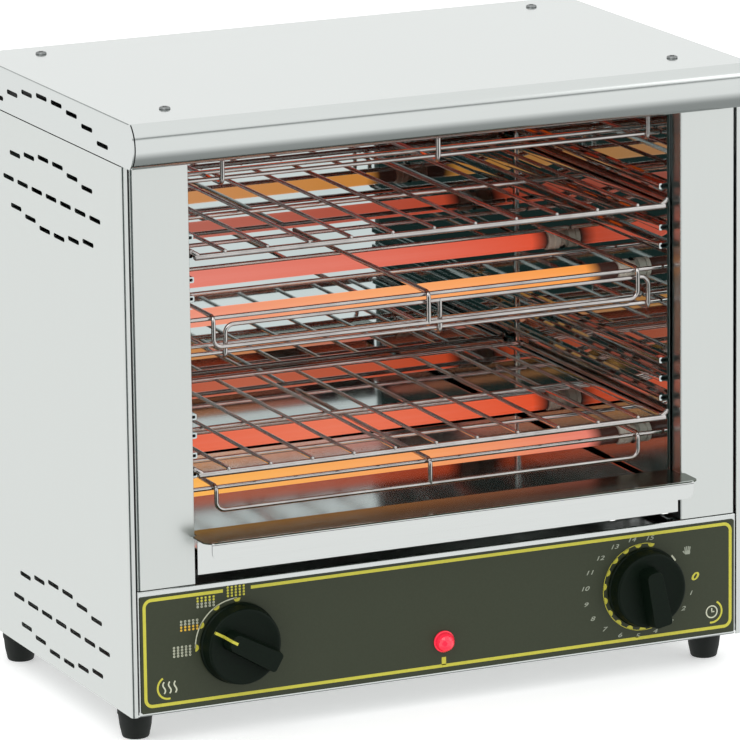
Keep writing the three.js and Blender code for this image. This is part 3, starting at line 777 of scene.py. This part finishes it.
def border():
    """The printed frame line, open above the selector where one of its marks stands."""
    x0, x1 = OVERLAY_LOW.x + BORDER_SIDE, OVERLAY_HIGH.x - BORDER_SIDE
    z0, z1 = OVERLAY_LOW.z + BORDER_BOTTOM, FILM_TOP - BORDER_TOP
    selector = KNOBS["selector_knob"]["centre"].x
    chain = bent([(selector - BORDER_GAP, z1), (x0, z1), (x0, z0), (x1, z0), (x1, z1),
                  (selector + BORDER_GAP, z1)], 5)
    return [stroke(chain, BORDER_WIDTH)]


SELECTOR_STOPS = {  # pointer angle: the grid's x and z, and its lit rows, counted down if negative
    180: (-39.8, -1.0, 0), 150: (-34.4, 16.1, 2), 120: (-22.4, 30.5, -2), 90: (-0.8, 35.2, 4),
}
GRID_COLUMNS = 5
GRID_ROWS = 4
GRID_PITCH = (2.85, 1.95)
DIAL_R = 30.3
DOT_R = 0.8
DOT_HOLE_R = 0.4
MOON_R = 2.5


def selector_marks():
    """Four positions: a grid of dots for each, solid where that level heats."""
    centre = KNOBS["selector_knob"]["centre"]
    yellow, white, orange = [], [], []
    for angle, (x, z, lit) in SELECTOR_STOPS.items():
        yellow.append(half_moon(centre, DIAL_R, angle, MOON_R))
        lit_dots = orange if angle == KNOBS["selector_knob"]["angle"] else yellow
        for row in range(GRID_ROWS):
            from_top = GRID_ROWS - 1 - row
            is_lit = lit == GRID_ROWS or (lit > 0 and row < lit) or (lit < 0 and from_top < -lit)
            for column in range(GRID_COLUMNS):
                place = (centre.x + x + (column - (GRID_COLUMNS - 1) / 2) * GRID_PITCH[0],
                         centre.z + z + (row - (GRID_ROWS - 1) / 2) * GRID_PITCH[1])
                if is_lit:
                    lit_dots.append(dot(*place, DOT_R))
                else:
                    white.append(ring(*place, DOT_R, DOT_HOLE_R))
    white.append(stroke(arc(centre.x, centre.z, DIAL_R, 90, 180, 40), 0.8))
    return yellow, white, orange


TIMER_ZERO = 3.5
TIMER_STEP = 19.0
TIMER_MINUTES = 15
HOLD_ANGLE = 37.0
NUMBER_REACH = (41, 34)
NUMBER_SHIFT = -3.8
FIRST_MOON = 5


def timer_marks():
    """A clockwise dial from 0 to 15 minutes, with a hold position past zero."""
    centre = KNOBS["timer_knob"]["centre"]
    yellow, white, dim = [], [], []
    for minute in range(TIMER_MINUTES + 1):
        angle = TIMER_ZERO - TIMER_STEP * minute
        radians = math.radians(angle)
        x = centre.x + NUMBER_REACH[0] * math.cos(radians)
        z = centre.z + NUMBER_REACH[1] * math.sin(radians)
        if minute == 0:
            yellow.append(text("0", x - 2.5, z, 7.2, 1.45, 0.03))
        else:
            dim.append(text(str(minute), x + NUMBER_SHIFT, z, 4.1, 1.6))
        if minute >= FIRST_MOON:
            yellow.append(half_moon(centre, DIAL_R, angle, MOON_R))
        elif minute > 0:
            white.append(stroke(arc(centre.x, centre.z, DIAL_R, angle - 2, angle + 2, 4), 0.8))
    start = TIMER_ZERO - TIMER_STEP * TIMER_MINUTES
    end = TIMER_ZERO - TIMER_STEP * (FIRST_MOON - 1)
    yellow.append(stroke(arc(centre.x, centre.z, DIAL_R, start, end, 90), 0.45))
    white.append(stroke(arc(centre.x, centre.z, DIAL_R - 1.6, HOLD_ANGLE - 5, HOLD_ANGLE + 5, 6), 1.2))
    return yellow, white, dim + hold_symbol(centre.x + 33.4, centre.z + 21.5)


def hold_symbol(x, z):
    """A generic pictogram of an open hand: a palm and four fingers."""
    palm = printed(rounded(rectangle(x - 2.1, x + 2.1, z - 3.0, z + 0.2), 1.0))
    fingers = [stroke([(x + 1.2 * k, z - 0.2), (x + 1.45 * k, z + 2.8 - 0.4 * abs(k))], 0.8)
               for k in (-1.4, -0.5, 0.5, 1.4)]
    return [palm, stroke([(x - 1.9, z - 2.0), (x - 3.4, z - 0.4)], 0.9), *fingers]


def corner_symbols():
    """A heat sign at the selector's corner, a clock sign at the timer's, a bar under the lamp."""
    left = Vector((OVERLAY_LOW.x + 19, OVERLAY_LOW.z + 16))
    right = Vector((OVERLAY_HIGH.x - 17, OVERLAY_LOW.z + 16))
    yellow = [stroke(arc(left.x, left.y, 7.6, 120, 280, 24), 1.3),
              stroke(arc(right.x, right.y, 7.6, -100, 60, 24), 1.3)]
    white = []
    for i in range(3):
        wave = [(left.x - 3 + 4 * i + 0.9 * math.sin(t * math.pi / 4), left.y - 4 + t) for t in range(9)]
        white.append(stroke(wave, 1.0))
    white.append(ring(right.x, right.y, 4.6, 3.7))
    white.append(stroke([(right.x, right.y + 2.6), (right.x, right.y)], 0.8))
    white.append(stroke([(right.x - 0.3, right.y), (right.x + 2.0, right.y)], 0.8))
    lamp = LAMP_CENTRE
    yellow.append(printed(rectangle(lamp.x - 1.6, lamp.x + 1.6, lamp.z - 16.5, lamp.z - 11.0)))
    return yellow, white


def make_print():
    selector_yellow, selector_white, orange = selector_marks()
    timer_yellow, timer_white, dim = timer_marks()
    corner_yellow, corner_white = corner_symbols()
    yellow = border() + selector_yellow + timer_yellow + corner_yellow
    white = selector_white + timer_white + corner_white
    piece("overlay_print_yellow", yellow, YELLOW, "overlay")
    piece("overlay_print_white", white, WHITE, "overlay")
    piece("overlay_print_orange", orange, ORANGE, "overlay")
    piece("overlay_print_numbers", dim, DIM_PRINT, "overlay")


KNOB_R = (box("timer_knob")[1].x - box("timer_knob")[0].x) / 2
KNOB_FACE = 12.5
KNOB_TOP = KNOB_BACK - box("timer_knob")[0].y
GRIP_TAIL = 25.0
GRIP_HEAD = 16.8


def make_knob(name):
    """A tapered drum with a shallow dished face and a raised grip bar, on its shaft."""
    knob = KNOBS[name]
    place = Vector((knob["centre"].x, KNOB_BACK, knob["centre"].z))
    r = KNOB_R
    face = KNOB_FACE
    drum = lathe([
        (0, -13.5), (2.6, -13.5), (3.0, -13), (3.0, 0.4), (r - 1.6, 0.4), (r - 1.4, 0), (r - 0.3, 0),
        (r, 0.3), (r, 2.2), (r - 0.2, 2.6), (r - 0.7, 2.9), (r - 0.9, 3.4), (r - 1.7, face - 1.4),
        (r - 2.0, face - 0.6), (r - 2.7, face - 0.1), (r - 3.6, face), (r - 6, face - 0.5),
        (r - 12, face - 1.3), (0, face - 1.6),
    ], place, (0, -1, 0), 96)
    outline = rounded([
        (-GRIP_TAIL, -8.2), (GRIP_HEAD, -7.0), (GRIP_HEAD, 7.0), (-GRIP_TAIL, 8.2),
    ], [2.8, 5.0, 5.0, 2.8], steps=10)
    crown = rounded([
        (1.5 - GRIP_TAIL, -6.8), (GRIP_HEAD - 1.5, -5.6), (GRIP_HEAD - 1.5, 5.6), (1.5 - GRIP_TAIL, 6.8),
    ], [2.4, 4.2, 4.2, 2.4], steps=10)
    bar = tapered(outline, crown, face - 3, KNOB_TOP)
    turn = Matrix.Translation(place) @ Matrix.Rotation(math.radians(-knob["angle"]), 4, "Y")
    stand_in(name, "moulding", [drum, moved(bar, turn)], KNOB, "knobs", body=name, edge=0.7, smooth=38)
    return turn


def tapered(outline, crown, low, high):
    """A bar standing towards the front, from its foot outline to its smaller crown outline."""
    count = len(outline)
    vertices = [(p[0], -low, p[1]) for p in outline] + [(p[0], -high, p[1]) for p in crown]
    faces = [tuple(range(count)), tuple(range(count, 2 * count))]
    for i in range(count):
        j = (i + 1) % count
        faces.append((i, j, j + count, i + count))
    return vertices, faces


def make_knobs():
    turns = {name: make_knob(name) for name in KNOBS}
    top, face = KNOB_TOP + 0.08, KNOB_FACE + 0.08
    ridge = [(GRIP_HEAD - 6, top), (GRIP_HEAD - 1.4, top), (GRIP_HEAD + 0.2, face - 1.0),
             (KNOB_R - 6, face - 0.5), (KNOB_R - 3.6, face), (KNOB_R - 2.4, face - 0.3)]
    under = [(u, h - 0.6) for u, h in ridge]
    line = prism([(u, -h) for u, h in ridge + under[::-1]], "z", -0.95, 0.95)
    piece("selector_pointer_line", [moved(line, turns["selector_knob"])], YELLOW, "overlay",
          body="selector_knob")


def make_lamp():
    """A red domed lens in a thin red collar, on its barrel through the panel."""
    centre = LAMP_CENTRE
    reach = OVERLAY_LOW.y - box("indicator_lamp")[0].y
    depth = box("indicator_lamp")[1].y - OVERLAY_LOW.y
    profile = [(0, -depth), (4.6, -depth), (4.9, 0.4 - depth), (4.9, 0.1), (7.2, 0.1), (7.4, 0.3),
               (7.4, 1.0), (7.2, 1.3), (6.9, 1.5)]
    collar = profile[-1][1]
    profile += [(6.7 * math.cos(math.radians(a)), collar + (reach - collar) * math.sin(math.radians(a)))
                for a in range(0, 90, 6)]
    profile.append((0, reach))
    lens_body = lathe(profile, (centre.x, OVERLAY_LOW.y, centre.z), (0, -1, 0), 64)
    stand_in("indicator_lamp", "lens", [lens_body], LAMP_GLASS, "lamp", smooth=40)


# ---- cavity ----

RAIL_FLOORS = (178.9, 204.9, 296.5, 324.7)
RAIL_H = 8.6
RAIL_RIB = 4.0
RAIL_DEPTH = 6.0
LINER_X = LINER_LOW.x + RAIL_DEPTH
CAP_HOLE_R = 7.5
BEAD_R = 2.2


def make_liners():
    """Reflector side walls, pressed inwards into two ribs for each rail, with a rear corner bead."""
    low, top = LINER_LOW.z, LINER_HIGH.z
    rib_x = LINER_LOW.x
    inner, outer = [(LINER_X, low)], [(LINER_X + SHEET, low)]
    for rib in sorted(z for floor in RAIL_FLOORS for z in (floor - RAIL_RIB, floor + RAIL_H)):
        high = rib + RAIL_RIB
        inner += [(LINER_X, rib), (rib_x, rib), (rib_x, high), (LINER_X, high)]
        outer += [(LINER_X + SHEET, rib + SHEET), (rib_x + SHEET, rib + SHEET),
                  (rib_x + SHEET, high - SHEET), (LINER_X + SHEET, high - SHEET)]
    inner.append((LINER_X, top))
    outer.append((LINER_X + SHEET, top))
    section = bent(inner, 0.9, 4) + bent(outer, 0.5, 4)[::-1]
    front, back = LINER_LOW.y, LINER_HIGH.y
    flange = block(LINER_X + SHEET / 2, LINER_HIGH.x, front, front + SHEET, low, top)
    holes = []
    for level, row in TUBES:
        tube_at = middle(f"quartz_tube_{level}_{row}")
        holes.append(prism(circle(tube_at.y, tube_at.z, CAP_HOLE_R), "x", LINER_X - 2, LINER_X + 3))
    wall = cut(prism(section, "y", front, back), holes)
    curve = arc(LINER_X - BEAD_R, back - BEAD_R, BEAD_R, 0, 90, 8)
    bead = prism([(LINER_X + 0.2, back - BEAD_R), *curve, (LINER_X + 0.2, back)], "z", low, top)
    for name, side in SIDES.items():
        shapes = [mirrored(shape, side) for shape in (wall, flange, bead)]
        stand_in(f"side_liner_{name}", "sheet", shapes, MIRROR, "liner")


FLOOR_FRONT = 60.0
RUNNER_X = 150.0


def make_cavity_floor():
    """The sheet below the crumb tray, with two raised runners that carry the tray."""
    low, high = box("cavity_floor")
    sheet = block(low.x, high.x, FRONT + FLOOR_FRONT, high.y, low.z, low.z + SHEET)
    runners = [block(side * RUNNER_X - 4, side * RUNNER_X + 4, FRONT + FLOOR_FRONT, high.y - 4,
                     low.z + SHEET - 0.1, high.z) for side in SIDES.values()]
    stand_in("cavity_floor", "sheet", [sheet, *runners], MIRROR, "liner", edge=0.3)


def quartz_tube(level, row):
    name = f"quartz_tube_{level}_{row}"
    low, high, centre = spans(name)
    half = high.x
    outer = (high.z - low.z) / 2
    bore = outer - 1.4
    profile = [(bore, -half), (outer - 0.5, -half), (outer, 0.5 - half), (outer, half - 0.5),
               (outer - 0.5, half), (bore, half), (bore, -half)]
    glass = lathe(profile, (0, centre.y, centre.z), (1, 0, 0), 40)
    stand_in(name, "glass", [glass], QUARTZ[level, row], "quartz")


COIL_WIRE_R = 0.45
COIL_PITCH = 2.6


def heating_coil(level, row):
    """A helix inside the tube, with a straight tail to each end cap."""
    name = f"heating_coil_{level}_{row}"
    low, high, centre = spans(name)
    half = high.x
    radius = (high.z - low.z) / 2 - COIL_WIRE_R
    per_turn = 12
    count = round(2 * half / COIL_PITCH) * per_turn
    points = []
    for i in range(count + 1):
        angle = 2 * math.pi * i / per_turn
        points.append((-half + 2 * half * i / count, centre.y + radius * math.cos(angle),
                       centre.z + radius * math.sin(angle)))
    tails = [tube([(side * (half - 1), centre.y, centre.z + radius), (side * (half + 5), centre.y, centre.z),
                   (side * (half + 11.5), centre.y, centre.z)], 0.7, 8) for side in (-1, 1)]
    stand_in(name, "wire", [tube(points, COIL_WIRE_R, 6), *tails], COIL, "coils")


def ceramic_caps(level, row):
    """Ribbed end caps in the liner holes, each with its terminal tab behind."""
    for side_name, side in SIDES.items():
        name = f"ceramic_cap_{level}_{row}_{side_name}"
        low, high, centre = spans(name)
        near = min(abs(low.x), abs(high.x))
        far = max(abs(low.x), abs(high.x)) - near
        r = (high.z - low.z) / 2
        profile = [(0, 0), (r - 0.7, 0), (r - 0.2, 0.3), (r, 0.8), (r, 3.2), (r - 0.6, 3.6),
                   (r - 0.6, 4.6), (r, 5.0), (r, 9), (r - 0.8, 9.8), (r - 1.6, 12), (r - 1.9, far - 3.2),
                   (0, far - 3)]
        cap = lathe(profile, (side * near, centre.y, centre.z), (side, 0, 0), 40)
        ends = sorted((side * (near + far - 4), side * (near + far)))
        tab = block(*ends, centre.y - 2.4, centre.y + 2.4, centre.z - 0.4, centre.z + 0.4)
        stand_in(name, "body", [cap], CERAMIC, "ceramic")
        piece(f"{name}_tab", [tab], COPPER, "ceramic", edge=0.1)


GUARD_R = 1.5
GUARD_BEND = 4.0
OVER_CROSSBARS = (4, 74, 144, 212)
UNDER_CROSSBARS = (30, 100, 170, 208)
GUARD_SILL = (2.4, 3.4)
GUARD_HALF = 155
UNDER_GUARD_SHIFT = 10
WELD = 1.2


def guard(node_name, crossbars, is_over):
    """A welded wire guard: three wires bent to a front bar, and crossbars from wall to wall."""
    low, high = box(node_name)
    r = GUARD_R
    cross_half = high.x
    shift = 0 if is_over else UNDER_GUARD_SHIFT
    outer = GUARD_HALF
    front, back = low.y + r + 0.1, high.y
    way = 1 if is_over else -1
    wires = high.z - r if is_over else low.z + r
    bar = low.z + r + 0.1 if is_over else high.z - r - 0.1
    frame_path = bent([
        (shift - outer, back, wires), (shift - outer, front, wires), (shift - outer, front, bar),
        (shift + outer, front, bar), (shift + outer, front, wires), (shift + outer, back, wires),
    ], [0, GUARD_BEND, 6, 6, GUARD_BEND, 0])
    middle_path = bent([(shift, back, wires), (shift, front, wires), (shift, front, bar - way * 1.2)],
                       GUARD_BEND)
    shapes = [tube(frame_path, r, 16), tube(middle_path, r + 0.1, 16)]
    places = [(distance, wires - way * WELD * r) for distance in crossbars]
    if not is_over:
        places.append((GUARD_SILL[0], wires + GUARD_SILL[1]))
    for distance, z in places:
        y = front + distance
        shapes.append(tube([(-cross_half, y, z), (cross_half, y, z)], r, 14))
    stand_in(node_name, "wires", shapes, CHROME, "wire", smooth=50)


RACK_WIRE_R = 1.3
RACK_BAR_R = 2.2
RACK_RUNNER_R = 1.8
RACK_WIRES = 11
RACK_PITCH = 30.0
RACK_BAR_HALF = 171.5
RACK_MIDDLE_HALF = 166


def rack(node_name, body):
    """A sliding toast rack: eleven wires on a front bar, a middle bar and a bent runner frame."""
    low, high = box(node_name)
    runner_x = high.x - RACK_RUNNER_R
    runner_z = high.z - RACK_RUNNER_R
    floor = runner_z - RACK_RUNNER_R - GAP
    bar_z = floor + 0.6 - RACK_BAR_R
    wire_z = bar_z + RACK_BAR_R + 0.4
    front = low.y + 2
    back = high.y - RACK_RUNNER_R
    frame_path = bent([
        (-runner_x, front, runner_z), (-runner_x, back, runner_z), (runner_x, back, runner_z),
        (runner_x, front, runner_z),
    ], 9)
    shapes = [tube(frame_path, RACK_RUNNER_R, 16)]
    for half, y, radius, sides in ((RACK_BAR_HALF, front, RACK_BAR_R, 20),
                                   (RACK_MIDDLE_HALF, (front + back) / 2, RACK_WIRE_R + 0.4, 14)):
        shapes.append(tube([(-half, y, bar_z), (half, y, bar_z)], radius, sides))
    for side in (-1, 1):
        shapes.append(tube([(side * 168, front, bar_z + 0.6), (side * runner_x, front + 1, runner_z)],
                           RACK_RUNNER_R, 14))
    for i in range(RACK_WIRES):
        x = (i - (RACK_WIRES - 1) / 2) * RACK_PITCH
        shapes.append(tube([(x, front - 2, wire_z), (x, back, wire_z)], RACK_WIRE_R, 14))
    stand_in(node_name, "wires", shapes, CHROME, "wire", body=body, smooth=50)


# ---- crumb tray ----

def make_crumb_tray():
    """A folded shallow tray, its front plate and the rolled handle lip that hems down in front."""
    low, high = box("crumb_tray")
    sheet = 0.8
    half, plate_half, neck_half, lip_half = 172.0, 176.4, 176.8, high.x - 3.5
    hem_half = 176.0
    bottom = low.z + GAP
    front_y, lip_top = low.y, high.z
    back = high.y
    wall_top = bottom + 14
    walls = prism(rounded(rectangle(-half, half, FRONT + 0.8, back), 3), "z", bottom, wall_top,
                  [rounded(rectangle(sheet - half, half - sheet, FRONT + 1.6, back - sheet), 2.2)])
    pan = prism(rounded(rectangle(-half + 0.2, half - 0.2, FRONT + 1, back - 0.2), 2.8), "z",
                bottom, bottom + sheet)
    plate = block(-plate_half, plate_half, FRONT + 0.3, FRONT + 1.3, low.z, lip_top - 0.5)
    lip_back = FRONT + 12
    ear = FRONT - 1
    lip = prism(rounded([
        (-neck_half, lip_back), (-neck_half, ear), (-lip_half, ear), (-lip_half, front_y),
        (lip_half, front_y), (lip_half, ear), (neck_half, ear), (neck_half, lip_back),
    ], [0.6, 0.6, 2, 6, 6, 2, 0.6, 0.6], steps=14), "z", lip_top - sheet, lip_top)
    hem_low = 127.8
    hem_corner = 10
    hem_top = hem_low + hem_corner + 0.4
    fold = rounded([(front_y + 1.4, lip_top - sheet), (front_y + 1.4, lip_top + 0.1),
                    (front_y, lip_top + 0.1), (front_y, hem_top - 0.4), (front_y + sheet, hem_top - 0.4),
                    (front_y + sheet, lip_top - sheet)], [0, 0, 0.6, 0, 0, 0.1], steps=8)
    hem = prism(rounded([(-hem_half, hem_low), (hem_half, hem_low), (hem_half, hem_top),
                         (-hem_half, hem_top)], [hem_corner, hem_corner, 0, 0], steps=14), "y",
                front_y, front_y + sheet)
    # The lip's top carries a painted dark reflection of the cavity instead of mirroring it
    piece("crumb_tray_lip", [lip], TRAY_LIP_PAINTED_REFLECTION, "tray_steel", body="crumb_tray", edge=0.2)
    stiffener = block(-half, half, lip_back - 0.9, lip_back - 0.1, lip_top - 6, lip_top - 0.2)
    shapes = [walls, pan, plate, prism(fold, "x", -hem_half, hem_half), hem, stiffener]
    stand_in("crumb_tray", "sheet", shapes, TRAY_STEEL, "tray_steel", body="crumb_tray", edge=0.2)


# ---- making everything ----

make_side_panels()
make_lid()
# dark boards that paint the shade inside the lid's vent slots
make_lid_baffles()
make_lid_screws()
make_columns()
make_rear_panel()
make_feet()
make_gland()
make_fascia()
make_overlay()
make_print()
make_knobs()
make_lamp()
make_liners()
make_cavity_floor()
for level, row in TUBES:
    quartz_tube(level, row)
    heating_coil(level, row)
    ceramic_caps(level, row)
for level in ("bottom", "mid"):
    guard(f"guard_over_{level}_tubes", OVER_CROSSBARS, True)
for level in ("mid", "top"):
    guard(f"guard_under_{level}_tubes", UNDER_CROSSBARS, False)
for place in ("upper", "lower"):
    rack(f"toast_rack_{place}", f"rack_{place}")
make_crumb_tray()

for name in ("rear_reflector", "top_reflector"):
    finish_node(name, MIRROR)
finish_node("base_plate", STEEL)
for name in ("selector_switch", "timer_body"):
    finish_node(name, MOULDING)


# ---- floor, light and camera, in metres ----

FLOOR_REACH = 30


def make_floor():
    floor_material = speckled("studio floor", (246, 246, 246), (244, 244, 244), 0.6, 3.0, 0.0,
                              Emission_Color=(1, 1, 1, 1), Emission_Strength=0.4)
    mesh = bpy.data.meshes.new("floor")
    corners = rectangle(-FLOOR_REACH, FLOOR_REACH, -FLOOR_REACH, FLOOR_REACH)
    mesh.from_pydata([(x, y, 0) for x, y in corners], [], [(0, 1, 2, 3)])
    mesh.materials.append(floor_material)
    floor = new_object("floor", mesh)
    floor.visible_glossy = False


LIGHTS = {  # place, side and power of each square light, all turned to one point
    "key": ((-1.6, -1.6, 2.6), 2.0, 16),
    "fill": ((2.2, -1.8, 1.6), 1.6, 6),
}
LIT_POINT = Vector((0, 0, 0.2))


def area_light(name, place, size, power):
    light = bpy.data.lights.new(name, "AREA")
    light.shape = "RECTANGLE"
    light.size = size
    light.size_y = size
    light.energy = power
    obj = new_object(name, light)
    obj.location = place
    obj.rotation_euler = (LIT_POINT - Vector(place)).to_track_quat("-Z", "Y").to_euler()


def combined(world, operation, *values):
    """The value socket of a math node fed with numbers and sockets."""
    made = node(world, "ShaderNodeMath")
    made.operation = operation
    for socket, value in zip(made.inputs, values):
        if isinstance(value, float):
            socket.default_value = value
        else:
            world.node_tree.links.new(value, socket)
    return made.outputs["Value"]


STUDIO = (0.975, 0.99, 0.98, 1)
DARK_CARD = (0.022, 0.042, 0.038, 1)
CARD_TOWARDS = (-0.40, -0.88, -0.15)
CARD_EDGE = (0.85, 0.88)


def make_world():
    """A white studio. What shines also mirrors a dark card and the dark room below the table."""
    world = bpy.data.worlds.new("studio")
    world.use_nodes = True
    links = world.node_tree.links
    place = node(world, "ShaderNodeTexCoord")
    split = node(world, "ShaderNodeSeparateXYZ")
    facing = node(world, "ShaderNodeVectorMath")
    facing.operation = "DOT_PRODUCT"
    facing.inputs[1].default_value = Vector(CARD_TOWARDS).normalized()
    card = node(world, "ShaderNodeMapRange", From_Min=CARD_EDGE[0], From_Max=CARD_EDGE[1])
    links.new(place.outputs["Generated"], split.inputs["Vector"])
    links.new(place.outputs["Generated"], facing.inputs[0])
    links.new(facing.outputs["Value"], card.inputs["Value"])
    room = ramp(world, combined(world, "MULTIPLY_ADD", split.outputs["Z"], 0.5, 0.5), [
        (0.0, grey(0.72)), (0.10, grey(0.66)), (0.27, grey(0)),
        (0.67, grey(0)), (0.715, grey(0.9)), (0.75, grey(0)),
    ])
    dark = combined(world, "MAXIMUM", card.outputs["Result"], room)
    shine = node(world, "ShaderNodeLightPath").outputs["Is Glossy Ray"]
    colour = ramp(world, combined(world, "MULTIPLY", dark, shine), [(0.0, STUDIO), (1.0, DARK_CARD)])
    links.new(colour, world.node_tree.nodes["Background"].inputs["Color"])
    bpy.context.scene.world = world


def make_light():
    make_world()
    for name, (place, size, power) in LIGHTS.items():
        area_light(name, place, size, power)
    bpy.context.scene.view_settings.view_transform = "Standard"


AZIMUTH = 24.52
ELEVATION = 13.61
ROLL = -0.70
AIM = Vector((0.0086, 0.00675, 0.2018))
DISTANCE = 4.396
LENS = 314.5


def make_camera():
    camera = bpy.data.cameras.new("camera")
    camera.lens = LENS
    camera.sensor_width = 36
    camera.clip_end = 200
    obj = new_object("camera", camera)
    turn = math.radians(AZIMUTH)
    rise = math.radians(ELEVATION)
    forward = Vector((math.sin(turn) * math.cos(rise), math.cos(turn) * math.cos(rise), -math.sin(rise)))
    obj.location = AIM - forward * DISTANCE
    facing = forward.to_track_quat("-Z", "Y")
    obj.rotation_euler = (facing.to_matrix() @ Matrix.Rotation(math.radians(ROLL), 3, "Z")).to_euler()
    bpy.context.scene.camera = obj


make_floor()
make_light()
make_camera()
